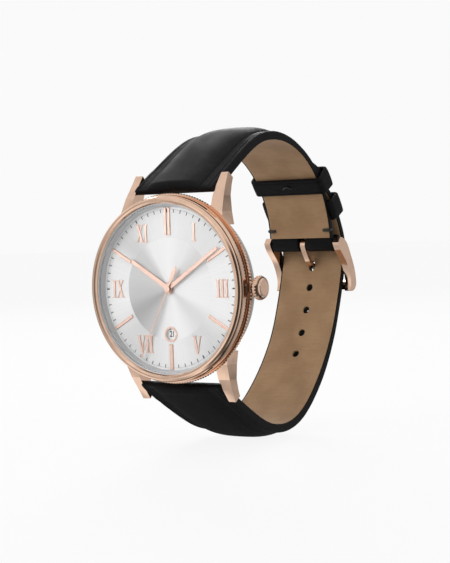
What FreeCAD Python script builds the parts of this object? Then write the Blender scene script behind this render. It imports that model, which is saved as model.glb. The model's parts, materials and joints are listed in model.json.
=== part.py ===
import FreeCAD, Part
import math
import operator
import os

import Sketcher

# A wristwatch on a leather strap, in millimetres. +X points to 3 o'clock and the crown, +Z to
# 12 o'clock, and +Y out of the case back to the wrist. The origin is the middle of the case back.

doc = FreeCAD.newDocument("Wristwatch")
sheet = doc.addObject("Spreadsheet::Sheet", "Sizes")

SIZES = {
    # case, bezel and glass: radii from the hands' axis, faces as y
    "CaseRadius": 21.0, "CoinRadius": 21.5, "CoinTeeth": 180, "CoinDepth": 0.22,
    "CoinFront": -6.0, "CoinBack": -5.3, "CaseFront": -8.15, "CaseBackEdge": 19.0,
    "CaseBackFace": -1.2, "ShoulderFace": -7.8, "ShoulderRadius": 20.32, "BoreRadius": 19.25,
    "CavityRadius": 17.4, "BezelRadius": 20.8, "BezelCrest": -9.15, "BezelBack": -8.3,
    "LipRadius": 19.24, "LipFace": -8.65, "GlassRadius": 19.0, "GlassFront": -8.75,
    "GlassBack": -7.85, "BackPlateRadius": 18.9, "BackFlatRadius": 17.6, "BackPlateDepth": 1.3,
    # lugs and spring bars
    "LugGap": 22.1, "LugTip": 25.85, "BarFromAxis": 23.1, "BarDepth": -1.8, "BarRadius": 0.75,
    "BarBore": 0.44, "PinRadius": 0.4, "PinHoleRadius": 0.43, "PinReach": 1.3, "PinTravel": 1.3,
    "PinInside": 2.0, "BarEndGap": 1.1, "SpringWire": 0.09, "SpringRadius": 0.33,
    # dial side
    "DialRadius": 19.2, "DialFace": -6.6, "DialThickness": 0.4, "FlangeInner": 18.4,
    "FlangeTop": -7.8, "MarkHeight": 0.22, "BatonInner": 12.26, "BatonOuter": 18.2,
    "NumeralHeight": 4.0, "NumeralCircle": 14.5, "DateFromAxis": 10.28, "DateWindow": 1.35,
    "DateFrame": 1.75,
    # hands
    "HourReach": 11.9, "MinuteReach": 16.4, "SecondReach": 17.1, "SecondTail": 5.6,
    "HandThickness": 0.13, "HourLevel": -6.87, "MinuteLevel": -7.15, "SecondLevel": -7.42,
    "HourAngle": 302.0, "MinuteAngle": 56.5, "SecondAngle": 207.3,
    # movement
    "MovementRadius": 12.8, "PlateFront": -5.5, "PlateBack": -3.7, "BridgeFront": -2.4,
    "BridgeBack": -1.95, "BatteryRadius": 3.4, "BatteryThickness": 2.15, "DateRingInner": 8.9,
    "DateRingOuter": 11.9,
    # crown and stem
    "StemDepth": -4.6, "StemRadius": 0.6, "CrownInner": 21.9, "CrownLength": 2.35,
    "CrownRadius": 2.7, "CrownEndRadius": 1.9, "CrownFlutes": 24, "TubeRadius": 1.15,
    # strap: half widths, layers and the circle that the 12 o'clock half is bent to
    "StrapHalfLug": 10.9, "StrapHalfBuckle": 9.0, "LiningThickness": 0.6, "StrapThin": 1.5,
    "StrapThick": 3.4, "StrapAtBar": 2.7, "PadInset": 1.6, "TaperStart": 1.4, "TaperEnd": 48.4,
    "ArcY": 23.9, "ArcZ": 8.4, "ArcRadius": 25.2, "TailRadius": 27.0,
    "HoleRadius": 0.95,
    # keepers and buckle
    "KeeperStart": 30.0, "KeeperSpan": 10.6, "KeeperThickness": 0.9, "KeeperHalf": 9.45,
    "BuckleBarRadius": 27.5,
    "BuckleBarAngle": -0.6, "FoldRadius": 1.7, "ArmInner": 9.3, "ArmOuter": 11.0,
    "TongueWidth": 1.35,
}
for row, (alias, number) in enumerate(SIZES.items(), start=1):
    sheet.set(f"A{row}", alias)
    sheet.set(f"B{row}", str(number))
    sheet.setAlias(f"B{row}", alias)
doc.recompute()

nodes = {}                  # node name -> document object whose Shape is written
V = FreeCAD.Vector
FRONT = V(0, -1, 0)         # from the dial to the reader


class Size:
    """A length from the sheet: its value now, and the formula that keeps an object bound to it."""

    def __init__(self, value, formula):
        self.value = value
        self.formula = formula

    def join(self, other, sign, work):
        other = other if isinstance(other, Size) else Size(other, repr(other))
        return Size(work(self.value, other.value), f"({self.formula} {sign} {other.formula})")

    def __add__(self, other):
        return self.join(other, "+", operator.add)

    def __sub__(self, other):
        return self.join(other, "-", operator.sub)

    def __mul__(self, other):
        return self.join(other, "*", operator.mul)

    def __truediv__(self, other):
        return self.join(other, "/", operator.truediv)

    def __neg__(self):
        return Size(-self.value, f"(0 - {self.formula})")


def cell(alias):
    return Size(float(sheet.get(alias)), f"Sizes.{alias}")


def size(alias):
    return float(sheet.get(alias))


def as_size(number):
    return number if isinstance(number, Size) else Size(float(number), repr(float(number)))


def bind(thing, prop, number):
    number = as_size(number)
    setattr(thing, prop, number.value)
    thing.setExpression(prop, number.formula)


def keep(name, thing):
    """Registers a finished sub-part under its node name."""
    thing.Label = name
    nodes[name] = thing
    return thing


def feature(name, shape):
    """A sub-part whose shape is worked out in code, because no feature makes it."""
    thing = doc.addObject("Part::Feature", name)
    thing.Shape = shape
    thing.Placement = shape.Placement
    return keep(name, thing)


# ---------------------------------------------------------------- sketch helpers

def origin_plane(body, role):
    return next(f for f in body.Origin.OriginFeatures if f.Role == role)


def pin_point(sketch, line, x, y):
    """Holds the start of a line at (x, y), both bound to the sheet."""
    for kind, number in (("DistanceX", as_size(x)), ("DistanceY", as_size(y))):
        at = sketch.addConstraint(Sketcher.Constraint(kind, -1, 1, line, 1, number.value))
        sketch.setExpression(f"Constraints[{at}]", number.formula)


def outline_sketch(body, role, points):
    """A closed outline of straight lines through (x, y) points, on one of the body's planes."""
    sketch = body.newObject("Sketcher::SketchObject", body.Name + "Outline")
    sketch.AttachmentSupport = [(origin_plane(body, role), "")]
    sketch.MapMode = "FlatFace"
    at = [V(as_size(x).value, as_size(y).value, 0) for x, y in points]
    count = len(at)
    for i in range(count):
        sketch.addGeometry(Part.LineSegment(at[i], at[(i + 1) % count]), False)
    for i in range(count):
        sketch.addConstraint(Sketcher.Constraint("Coincident", i, 2, (i + 1) % count, 1))
    for i, (x, y) in enumerate(points):
        pin_point(sketch, i, x, y)
    return sketch


def turned(name, points, hidden=False):
    """A piece turned about the hands' axis, from its half section as (radius, y) points."""
    body = doc.addObject("PartDesign::Body", name + "Body")
    sketch = outline_sketch(body, "XY_Plane", points)
    spin = body.newObject("PartDesign::Revolution", name + "Turned")
    spin.Profile = sketch
    spin.ReferenceAxis = (sketch, ["V_Axis"])
    spin.Angle = 360
    body.Tip = spin
    return body if hidden else keep(name, body)


def circle_sketch(body, circles, back):
    """Circles (x, z, radius) on a plane that faces the reader at y = back."""
    sketch = body.newObject("Sketcher::SketchObject", body.Name + "Circles")
    sketch.AttachmentSupport = [(origin_plane(body, "XZ_Plane"), "")]
    sketch.MapMode = "FlatFace"
    lift = -as_size(back)
    sketch.AttachmentOffset = FreeCAD.Placement(V(0, 0, lift.value), FreeCAD.Rotation())
    sketch.setExpression(".AttachmentOffset.Base.z", lift.formula)
    for i, (x, z, radius) in enumerate(circles):
        x, z, radius = as_size(x), as_size(z), as_size(radius)
        centre = V(x.value, z.value, 0)
        sketch.addGeometry(Part.Circle(centre, V(0, 0, 1), radius.value), False)
        across = Sketcher.Constraint("DistanceX", -1, 1, i, 3, x.value)
        upward = Sketcher.Constraint("DistanceY", -1, 1, i, 3, z.value)
        around = Sketcher.Constraint("Radius", i, radius.value)
        for rule, number in ((across, x), (upward, z), (around, radius)):
            at = sketch.addConstraint(rule)
            sketch.setExpression(f"Constraints[{at}]", number.formula)
    return sketch


def plate(name, circles, back, thickness, hidden=False):
    """A flat plate: the first circle is its edge and the others are holes in it."""
    body = doc.addObject("PartDesign::Body", name + "Body")
    sketch = circle_sketch(body, circles, back)
    pad = body.newObject("PartDesign::Pad", name + "Plate")
    pad.Profile = sketch
    bind(pad, "Length", thickness)
    body.Tip = pad
    return body if hidden else keep(name, body)


def rod(name, radius, length, base, axis):
    """A Part::Cylinder that starts at base and runs along axis."""
    thing = doc.addObject("Part::Cylinder", name)
    bind(thing, "Radius", radius)
    bind(thing, "Height", length)
    thing.Placement = FreeCAD.Placement(base, FreeCAD.Rotation(V(0, 0, 1), axis))
    return thing


def block(name, sizes, corner):
    thing = doc.addObject("Part::Box", name)
    for prop, number in zip(("Length", "Width", "Height"), sizes):
        bind(thing, prop, number)
    thing.Placement = FreeCAD.Placement(corner, FreeCAD.Rotation())
    return thing


def boolean(kind, name, base, tools):
    """Part::Cut, Part::MultiFuse or Part::MultiCommon of whole document objects."""
    if kind == "Cut":
        for i, tool in enumerate(tools):
            step = doc.addObject("Part::Cut", f"{name}Cut{i}")
            step.Base = base
            step.Tool = tool
            base = step
        return base
    thing = doc.addObject(f"Part::Multi{kind}", f"{name}{kind}")
    thing.Shapes = [base] + list(tools)
    return thing


# ---------------------------------------------------------------- shape helpers

def flat(points, back, thickness):
    """A solid from an outline of (x, z) points, its back at y = back, built towards the reader."""
    corners = [V(x, back, z) for x, z in points]
    wire = Part.makePolygon(corners + corners[:1])
    return Part.Face(wire).extrude(FRONT * thickness)


def disc(radius, back, thickness, x=0.0, z=0.0):
    return Part.makeCylinder(radius, thickness, V(x, back, z), FRONT)


def turn_clock(shape, degrees):
    """Turns a shape clockwise round the dial, as the reader sees it."""
    turned_shape = shape.copy()
    turned_shape.rotate(V(0, 0, 0), V(0, 1, 0), degrees)
    return turned_shape


def star(count, inner, outer, back, thickness):
    """A toothed disc: count points between two radii."""
    points = []
    for i in range(2 * count):
        reach = outer if i % 2 else inner
        angle = math.pi * i / count
        points.append((reach * math.cos(angle), reach * math.sin(angle)))
    return flat(points, back, thickness)


def along_x(radius, start, end, y, z):
    return Part.makeCylinder(radius, abs(end - start), V(start, y, z), V(end - start, 0, 0))


def side_polygon(points, start, end):
    """A solid from (y, z) points, between two places along X."""
    corners = [V(start, y, z) for y, z in points]
    return Part.Face(Part.makePolygon(corners + corners[:1])).extrude(V(end - start, 0, 0))


# ---------------------------------------------------------------- case

def lug():
    """One horn: a ruled loft with a front facet, a side facet and a slanted tip."""
    inner = size("LugGap") / 2
    # z, front at the inner face, ridge x and y, rear edge x and y, back at the inner face
    stations = [
        (14.0, -5.9, 14.9, -6.0, 15.2, -2.3, -2.0),
        (17.0, -5.6, 14.2, -5.4, 14.6, -2.1, -1.5),
        (20.5, -4.4, 13.75, -3.9, 14.1, -1.7, -0.6),
        (23.0, -2.75, 13.3, -2.45, 13.6, -0.4, 0.4),
        (26.4, -0.1, 12.9, -0.4, 13.1, 1.6, 1.9),
    ]
    wires = []
    for z, front, ridge_x, ridge_y, rear_x, rear_y, back in stations:
        corners = [V(inner, front, z), V(ridge_x, ridge_y, z), V(rear_x, rear_y, z), V(inner, back, z)]
        wires.append(Part.makePolygon(corners + corners[:1]))
    horn = Part.makeLoft(wires, True, True)
    tip = size("LugTip")
    off = side_polygon([(-2.0, tip), (-0.6, tip - 0.1), (1.2, tip - 2.1), (3.0, tip - 3.0),
                        (3.0, tip + 2.0), (-2.0, tip + 2.0)], inner - 1, 16.0)
    hole = along_x(size("PinHoleRadius"), inner - 1, inner + 1.6, size("BarDepth"), size("BarFromAxis"))
    return horn.cut(off).cut(hole)


def case_middle():
    """The turned case ring with its milled edge and four lugs, and the bore for the crown tube."""
    ring = turned("case_ring", [
        (cell("BoreRadius"), cell("ShoulderFace")),
        (cell("ShoulderRadius"), cell("ShoulderFace")),
        (cell("ShoulderRadius"), cell("CaseFront")),
        (cell("CaseRadius") - 0.15, cell("CaseFront")),
        (cell("CaseRadius"), cell("CaseFront") + 0.15),
        (cell("CaseRadius") + 0.05, cell("CaseFront") + 0.9),
        (cell("CaseRadius") - 0.05, cell("CoinFront") - 0.4),
        (cell("CaseRadius") - 0.25, cell("CoinFront") - 0.25),
        (cell("CaseRadius") - 0.25, cell("CoinFront")),
        (cell("CaseRadius") - 0.1, cell("CoinBack")),
        (cell("CaseRadius") - 0.6, cell("CoinBack") + 1.3),
        (cell("CaseBackEdge") + 0.6, cell("CaseBackFace") - 1.2),
        (cell("CaseBackEdge"), cell("CaseBackFace")),
        (cell("CavityRadius") + 0.45, cell("CaseBackFace")),
        (cell("CavityRadius") + 0.45, cell("CaseBackFace") - 0.45),
        (cell("CavityRadius"), cell("CaseBackFace") - 0.45),
        (cell("CavityRadius"), cell("DialFace") + cell("DialThickness")),
        (cell("BoreRadius"), cell("DialFace") + cell("DialThickness")),
    ], hidden=True)
    doc.recompute()
    coin_back = size("CoinBack")
    edge = star(int(size("CoinTeeth")), size("CoinRadius") - size("CoinDepth"), size("CoinRadius"),
                coin_back, coin_back - size("CoinFront"))
    edge = edge.cut(disc(size("CoinRadius") - 1.2, coin_back + 1, 4))
    horn = lug()
    horns = [horn, horn.mirror(V(), V(1, 0, 0))]
    horns += [h.mirror(V(), V(0, 0, 1)) for h in horns]
    bore = along_x(size("TubeRadius"), 16.0, 23.0, size("StemDepth"), 0)
    inside = disc(size("CavityRadius"), size("CaseBackFace"), 5.0)
    shape = ring.Shape.fuse([edge] + horns).cut([bore, inside])
    feature("case_middle", shape.removeSplitter())


def bezel_and_glass():
    turned("bezel", [
        (cell("LipRadius"), cell("ShoulderFace")),
        (cell("LipRadius"), cell("LipFace")),
        (cell("LipRadius") + 0.25, cell("BezelCrest") + 0.13),
        (cell("LipRadius") + 0.65, cell("BezelCrest")),
        (cell("BezelRadius") - 0.55, cell("BezelCrest") + 0.07),
        (cell("BezelRadius") - 0.15, cell("BezelCrest") + 0.33),
        (cell("BezelRadius"), cell("BezelCrest") + 0.65),
        (cell("BezelRadius") - 0.06, cell("BezelBack")),
        (cell("ShoulderRadius") - 0.04, cell("BezelBack")),
        (cell("ShoulderRadius") - 0.04, cell("ShoulderFace")),
    ])
    turned("crystal", [
        (0, cell("GlassBack")),
        (0, cell("GlassFront") - 0.1),
        (cell("GlassRadius") * 0.6, cell("GlassFront") - 0.06),
        (cell("GlassRadius") - 0.25, cell("GlassFront") + 0.04),
        (cell("GlassRadius"), cell("GlassFront") + 0.25),
        (cell("GlassRadius"), cell("GlassBack")),
    ])
    turned("crystal_gasket", [
        (cell("GlassRadius"), cell("GlassBack")),
        (cell("GlassRadius"), cell("LipFace") + 0.2),
        (cell("LipRadius"), cell("LipFace") + 0.2),
        (cell("LipRadius"), cell("GlassBack")),
    ])


def case_back():
    turned("case_back", [
        (0, -cell("BackPlateDepth")),
        (cell("CavityRadius") - 0.8, -cell("BackPlateDepth")),
        (cell("CavityRadius") - 0.8, cell("CaseBackFace") - 1.2),
        (cell("CavityRadius") - 0.05, cell("CaseBackFace") - 1.2),
        (cell("CavityRadius") - 0.05, cell("CaseBackFace") + 0.02),
        (cell("BackPlateRadius"), cell("CaseBackFace") + 0.02),
        (cell("BackPlateRadius"), -cell("BackPlateDepth") * 0.35),
        (cell("BackFlatRadius"), 0),
        (0, 0),
    ])
    turned("case_back_gasket", [
        (cell("CavityRadius"), cell("CaseBackFace") - 0.43),
        (cell("CavityRadius") + 0.42, cell("CaseBackFace") - 0.43),
        (cell("CavityRadius") + 0.42, cell("CaseBackFace")),
        (cell("CavityRadius"), cell("CaseBackFace")),
    ])


# ---------------------------------------------------------------- dial

def dial():
    plate("dial", [(0, 0, cell("DialRadius")), (0, 0, 1.0),
                   (0, -cell("DateFromAxis"), cell("DateWindow"))],
          cell("DialFace") + cell("DialThickness"), cell("DialThickness"))
    turned("dial_flange", [
        (cell("FlangeInner"), cell("DialFace")),
        (cell("FlangeInner") + 0.35, cell("FlangeTop")),
        (cell("DialRadius"), cell("FlangeTop")),
        (cell("DialRadius"), cell("DialFace")),
    ])
    plate("date_frame", [(0, -cell("DateFromAxis"), cell("DateFrame")),
                         (0, -cell("DateFromAxis"), cell("DateWindow"))],
          cell("DialFace"), 0.14)


def bar_mark(inner, outer, width, offset=0.0):
    """A bevelled baton that points at the axis, for 12 o'clock."""
    half = width / 2
    face, height = size("DialFace"), size("MarkHeight")
    foot = flat([(offset - half, inner), (offset + half, inner),
                 (offset + half, outer), (offset - half, outer)], face, height)
    return foot.makeChamfer(0.08, [e for e in foot.Edges
                                   if abs(e.CenterOfMass.y - (face - height)) < 1e-6])


def hour_batons():
    inner, outer = size("BatonInner"), size("BatonOuter")
    marks = [bar_mark(inner - 0.2, outer + 0.1, 0.62, side * 0.5) for side in (-1, 1)]
    marks += [turn_clock(bar_mark(inner, outer, 0.75), 30 * hour) for hour in (2, 4, 8, 10)]
    marks.append(turn_clock(bar_mark(inner + 0.25, outer + 0.1, 1.0), 180))
    feature("hour_batons", Part.makeCompound(marks))


def slanted(x_low, x_high, width, height):
    """A stroke from the foot line to the head line."""
    half = width / 2
    return [(x_low - half, 0), (x_low + half, 0), (x_high + half, height), (x_high - half, height)]


def serif(x, width, base):
    return [(x - width / 2, base), (x + width / 2, base),
            (x + width / 2, base + 0.17), (x - width / 2, base + 0.17)]


def letter(sign, height):
    """The strokes of one Roman sign and the sign's width."""
    top = height - 0.17
    if sign == "I":
        return [slanted(0, 0, 0.5, height), serif(0, 1.1, 0), serif(0, 1.1, top)], 1.1
    if sign == "V":
        return [slanted(0.05, -0.72, 0.5, height), slanted(0.05, 0.85, 0.2, height),
                serif(-0.72, 0.95, top), serif(0.85, 0.7, top)], 2.4
    return [slanted(0.68, -0.62, 0.5, height), slanted(-0.75, 0.72, 0.2, height),
            serif(0.68, 0.85, 0), serif(-0.75, 0.65, 0),
            serif(-0.62, 0.85, top), serif(0.72, 0.65, top)], 2.25


def numeral(hour, signs):
    """One upright Roman numeral on its place round the dial."""
    height, face = size("NumeralHeight"), size("DialFace")
    widths = [letter(sign, height)[1] for sign in signs]
    x = -sum(widths) / 2
    strokes = []
    for sign, width in zip(signs, widths):
        for stroke in letter(sign, height)[0]:
            moved = [(x + width / 2 + px, pz - height / 2) for px, pz in stroke]
            strokes.append(flat(moved, face, size("MarkHeight") * 0.8))
        x += width
    shape = strokes[0].fuse(strokes[1:]).removeSplitter()
    angle = math.radians(30 * hour)
    reach = size("NumeralCircle")
    shape.translate(V(reach * math.sin(angle), 0, reach * math.cos(angle)))
    return shape.Solids


def hour_numerals():
    solids = []
    for hour, signs in ((1, "I"), (3, "III"), (5, "V"), (7, "VII"), (9, "IX"), (11, "XI")):
        solids += numeral(hour, signs)
    feature("hour_numerals", Part.makeCompound(solids))


# ---------------------------------------------------------------- hands

def hand(name, outline, hub, level, angle, bore):
    """A flat hand that points at 12, with a round hub on its pipe, turned to its angle."""
    back = size(level)
    thickness = size("HandThickness")
    shape = flat(outline, back, thickness).fuse(disc(hub, back, thickness))
    if bore:
        shape = shape.cut(disc(bore, back + 1, 3))
    feature(name, turn_clock(shape.removeSplitter(), size(angle)))


def hands():
    reach = size("HourReach")
    hand("hour_hand", [(-0.55, 0), (0.55, 0), (0.45, reach), (-0.45, reach)],
         1.25, "HourLevel", "HourAngle", 0.8)
    reach = size("MinuteReach")
    hand("minute_hand", [(-0.5, 0), (0.5, 0), (0.36, reach), (-0.36, reach)],
         1.05, "MinuteLevel", "MinuteAngle", 0.45)
    reach, tail = size("SecondReach"), size("SecondTail")
    leaf = [(0.13, 0), (0.3, -1.6), (0.5, -3.6), (0.36, -5.0), (0, -tail),
            (-0.36, -5.0), (-0.5, -3.6), (-0.3, -1.6), (-0.13, 0)]
    back, thickness = size("SecondLevel"), size("HandThickness") * 0.8
    shape = flat(leaf + [(-0.09, reach), (0.09, reach)], back, thickness)
    shape = shape.fuse([disc(0.75, back, thickness + 0.12), disc(0.34, back, thickness, 0, reach)])
    shape = shape.cut(disc(0.17, back + 1, 3, 0, reach)).cut(disc(0.15, back + 1, 0.99))
    feature("seconds_hand", turn_clock(shape.removeSplitter(), size("SecondAngle")))


# ---------------------------------------------------------------- wheels of the movement

LEAF = (0.9, 0.5, 0.55, 1.35)      # pinion: width at pitch and tip, height and depth, per module
TOOTH = (1.35, 0.5, 0.95, 1.2)     # wheel: the same


def gear(teeth, module, form, phase, back, thickness, x=0.0, z=0.0):
    """Straight-flanked teeth; phase is the angle of one tooth's middle, from +X towards +Z."""
    pitch = teeth * module / 2
    at_pitch, at_tip, height, depth = (part * module for part in form)
    root, tip = pitch - depth, pitch + height
    root_half = 0.55 * at_pitch / root
    tip_half = 0.5 * at_tip / tip
    points = []
    for i in range(teeth):
        middle = phase + 2 * math.pi * i / teeth
        for reach, half in ((root, -root_half), (tip, -tip_half), (tip, tip_half), (root, root_half)):
            angle = middle + half
            points.append((x + reach * math.cos(angle), z + reach * math.sin(angle)))
    return flat(points, back, thickness)


def meshed(teeth_a, phase_a, towards_b, teeth_b):
    """The phase that puts a gap of gear b on a tooth of gear a; towards_b is the angle from a to b."""
    offset = (phase_a - towards_b) * teeth_a / (2 * math.pi)
    return towards_b + math.pi - (offset + 0.5) * 2 * math.pi / teeth_b


THIRD_AT = (math.radians(140), 3.4)         # angle from +X towards +Z, distance from the hands' axis
FIFTH_AT = (math.radians(260), 3.85)
MINUTE_WHEEL_AT = (math.radians(215), 2.4)
DATE_WHEEL_AT = (math.radians(75), 4.8)
ROTOR_FROM_FIFTH = (math.radians(200), 3.3)
ARBOR = 0.15                                # radius of the thin arbors


def spot(place, base=(0.0, 0.0)):
    angle, reach = place
    return base[0] + reach * math.cos(angle), base[1] + reach * math.sin(angle)


THIRD = spot(THIRD_AT)
FIFTH = spot(FIFTH_AT)
MINUTE_WHEEL = spot(MINUTE_WHEEL_AT)
DATE_WHEEL = spot(DATE_WHEEL_AT)
ROTOR = spot(ROTOR_FROM_FIFTH, FIFTH)
BATTERY = (4.9, 6.7)


def going_train():
    """Seconds wheel, third wheel, centre wheel, fifth wheel and rotor, each with its pinion."""
    seconds = gear(60, 0.11, TOOTH, 0.0, -2.68, 0.16).fuse([
        gear(8, 0.1, LEAF, 0.0, -2.94, 0.3),
        disc(ARBOR, -2.2, 5.12),
    ])
    seconds = seconds.fuse(disc(ARBOR * 2, -2.6, 0.36))
    feature("seconds_wheel", seconds.removeSplitter())

    phase = meshed(8, 0.0, THIRD_AT[0], 60)
    third = gear(60, 0.1, TOOTH, phase, -3.0, 0.15, *THIRD).fuse([
        gear(8, 3.4 / 36, LEAF, 0.3, -3.15, 0.45, *THIRD),
        disc(ARBOR, -2.1, 1.7, *THIRD),
    ])
    feature("third_wheel", third.removeSplitter())

    phase = meshed(8, 0.3, THIRD_AT[0] + math.pi, 64)
    centre = gear(64, 3.4 / 36, TOOTH, phase, -3.35, 0.2).fuse([
        disc(0.45, -3.25, 3.9 + 0.13),
        gear(12, 0.1, LEAF, 0.0, -5.1, 0.25),
    ])
    feature("centre_wheel", centre.cut(disc(0.19, -3.0, 5.0)).removeSplitter())

    phase = meshed(60, 0.0, FIFTH_AT[0], 10)
    fifth = gear(10, 0.11, LEAF, phase, -2.62, 0.5, *FIFTH).fuse([
        gear(50, 0.11, TOOTH, 0.0, -3.05, 0.15, *FIFTH),
        disc(ARBOR, -2.1, 1.7, *FIFTH),
    ])
    feature("fifth_wheel", fifth.removeSplitter())

    phase = meshed(50, 0.0, ROTOR_FROM_FIFTH[0], 10)
    rotor = gear(10, 0.11, LEAF, phase, -2.98, 0.3, *ROTOR).fuse([
        disc(0.62, -3.28, 0.34, *ROTOR),
        disc(ARBOR, -2.1, 1.7, *ROTOR),
    ])
    feature("rotor", rotor.removeSplitter())


def motion_work():
    """Minute wheel, hour wheel, date driving wheel and date ring, on the dial side."""
    phase = meshed(12, 0.0, MINUTE_WHEEL_AT[0], 36)
    minute = gear(36, 0.1, TOOTH, phase, -5.12, 0.2, *MINUTE_WHEEL).fuse([
        gear(10, 0.096, LEAF, 0.1, -5.32, 0.45, *MINUTE_WHEEL),
        disc(ARBOR, -4.7, 0.6, *MINUTE_WHEEL),
    ])
    feature("minute_wheel", minute.removeSplitter())

    phase = meshed(10, 0.1, MINUTE_WHEEL_AT[0] + math.pi, 40)
    hour_level = size("HourLevel")
    hour = gear(40, 0.096, TOOTH, phase, -5.45, 0.25).fuse([
        gear(20, 0.16, LEAF, 0.0, -5.7, 0.35),
        disc(0.8, -5.45, 5.45 * -1 - hour_level + size("HandThickness")),
    ])
    feature("hour_wheel", hour.cut(disc(0.49, -5.0, 4.0)).removeSplitter())

    phase = meshed(20, 0.0, DATE_WHEEL_AT[0], 40)
    date = gear(40, 0.16, TOOTH, phase, -5.86, 0.16, *DATE_WHEEL).fuse(
        disc(0.4, -5.0, 1.02, *DATE_WHEEL))
    away = DATE_WHEEL_AT[0]
    finger = flat([(2.9, -0.25), (3.85, -0.1), (3.85, 0.1), (2.9, 0.25)], -5.86, 0.16)
    finger.rotate(V(), V(0, 1, 0), -math.degrees(away))
    finger.translate(V(DATE_WHEEL[0], 0, DATE_WHEEL[1]))
    feature("date_wheel", date.fuse(finger).removeSplitter())

    inner, outer = size("DateRingInner"), size("DateRingOuter")
    points = []
    for i in range(31):
        for reach, part in ((inner + 0.45, 0.0), (inner, 0.3), (inner, 0.45), (inner + 0.45, 0.75)):
            angle = 2 * math.pi * (i + part) / 31
            points.append((reach * math.cos(angle), reach * math.sin(angle)))
    ring = disc(outer, -5.78, 0.3).cut(flat(points, -5.6, 0.6))
    feature("date_ring", ring)


def movement_frame():
    """Main plate with its pockets, train bridge, ring that centres the movement, and screws."""
    back = size("PlateBack")
    edge_and_holes = [(0, 0, cell("MovementRadius")), (0, 0, 0.5), (*BATTERY, cell("BatteryRadius") + 0.1)]
    body = plate("plate", edge_and_holes, cell("PlateBack"), cell("PlateBack") - cell("PlateFront"),
                 hidden=True)
    pockets = [rod("dial_train_pocket", 4.6, 2.0, V(0, -5.0, 0), FRONT)]
    for name, (x, z) in (("third", THIRD), ("fifth", FIFTH), ("rotor", ROTOR)):
        pockets.append(rod(name + "_bearing", ARBOR + 0.03, 1.4, V(x, back + 1, z), FRONT))
    for name, (x, z), width, start in (("minute", MINUTE_WHEEL, ARBOR + 0.03, -4.5),
                                       ("date", DATE_WHEEL, 0.43, -4.9)):
        pockets.append(rod(name + "_bearing", width, 1.0, V(x, start, z), FRONT))
    across = V(1, 0, 0)
    stem_depth = size("StemDepth")
    pockets.append(rod("stem_bearing", cell("StemRadius") + 0.05, 9.0, V(5.2, stem_depth, 0), across))
    pockets.append(rod("pinion_room", 1.12, 3.4, V(6.0, stem_depth, 0), across))
    keep("main_plate", boolean("Cut", "main_plate", body, pockets))

    bridge_front, bridge_back = size("BridgeFront"), size("BridgeBack")
    outline = [(-8.2, 3.6), (-4.0, 7.0), (0.6, 5.0), (1.6, 1.0), (3.4, -2.0), (3.0, -6.6),
               (-0.5, -7.2), (-6.2, -8.1), (-8.0, -2.0)]
    bridge = flat(outline, bridge_back, bridge_back - bridge_front)
    posts = [(-7.2, 2.6), (2.5, -5.6), (-5.6, -7.4)]
    bridge = bridge.fuse([disc(0.75, bridge_front, bridge_front - back, x, z) for x, z in posts])
    holes = [disc(ARBOR + 0.03, -1.0, 3.0, *place) for place in (THIRD, FIFTH, ROTOR, (0.0, 0.0))]
    holes += [disc(0.31, -1.0, 4.0, x, z) for x, z in posts]
    feature("train_bridge", bridge.cut(holes).removeSplitter())
    screws = []
    for x, z in posts:
        slot = Part.makeBox(1.2, 0.12, 0.14, V(x - 0.6, bridge_back + 0.16, z - 0.07))
        screw = disc(0.55, bridge_back + 0.28, 0.28, x, z).fuse(disc(0.3, bridge_back, 1.7, x, z))
        screws.append(screw.cut(slot))
    feature("bridge_screws", Part.makeCompound(screws))

    rim = [(0, 0, cell("CavityRadius") - 0.1), (0, 0, cell("MovementRadius") + 0.02)]
    holder = plate("holder", rim, -2.6, 3.55, hidden=True)
    opening = rod("holder_opening", 0.9, 8.0, V(11.0, size("StemDepth"), 0), V(1, 0, 0))
    keep("movement_ring", boolean("Cut", "movement_ring", holder, [opening]))


def electrics():
    """Battery and its contact, coil, stator and circuit board with the quartz can."""
    top = -2.5
    can = rod("battery_can", cell("BatteryRadius"), cell("BatteryThickness"),
              V(BATTERY[0], top, BATTERY[1]), FRONT)
    battery = doc.addObject("Part::Chamfer", "battery")
    battery.Base = can
    battery.Edges = [(1, 0.25, 0.25), (3, 0.25, 0.25)]      # the rims of a Part::Cylinder
    keep("battery", battery)
    strip = flat([(-1.0, -0.7), (4.8, -0.7), (4.8, 0.7), (-1.0, 0.7)], top + 0.15, 0.15)
    strip.rotate(V(), V(0, 1, 0), 60)
    strip.translate(V(BATTERY[0], 0, BATTERY[1]))
    feature("battery_strap", strip)

    core_z = -9.3
    back = size("PlateBack")
    core = flat([(-8.0, core_z - 0.5), (3.4, core_z - 0.5), (3.4, core_z + 0.5), (-8.0, core_z + 0.5)],
                back + 0.72, 0.3)
    winding = Part.makeCylinder(0.78, 7.0, V(-6.3, back + 0.88, core_z), V(1, 0, 0))
    cheeks = [Part.makeBox(0.3, 1.7, 1.7, V(x, back + 0.03, core_z - 0.85)) for x in (-6.6, 0.7)]
    feature("coil", winding.fuse(cheeks + [core]).removeSplitter())
    x, z = ROTOR
    stator = flat([(-8.0, core_z - 0.5), (-7.0, core_z - 0.5), (-6.4, z - 1.4), (x + 1.5, z - 1.5),
                   (x + 1.9, z - 0.2), (x + 1.2, z + 1.2), (x - 1.4, z + 1.2), (-8.0, z - 0.6)],
                  back + 0.4, 0.38)
    feature("stator", stator.cut(disc(0.85, back + 1, 2, x, z)))

    board = flat([(4.4, -2.2), (10.4, -2.2), (8.6, -7.0), (4.4, -8.6)], back + 0.3, 0.28)
    chip = flat([(5.2, -6.4), (7.0, -6.4), (7.0, -4.6), (5.2, -4.6)], back + 0.75, 0.45)
    can = Part.makeCylinder(0.6, 4.2, V(5.0, back + 0.95, -3.2), V(1, 0, 0))
    feature("circuit_board", board.fuse([chip, can]).removeSplitter())


# ---------------------------------------------------------------- crown

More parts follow.
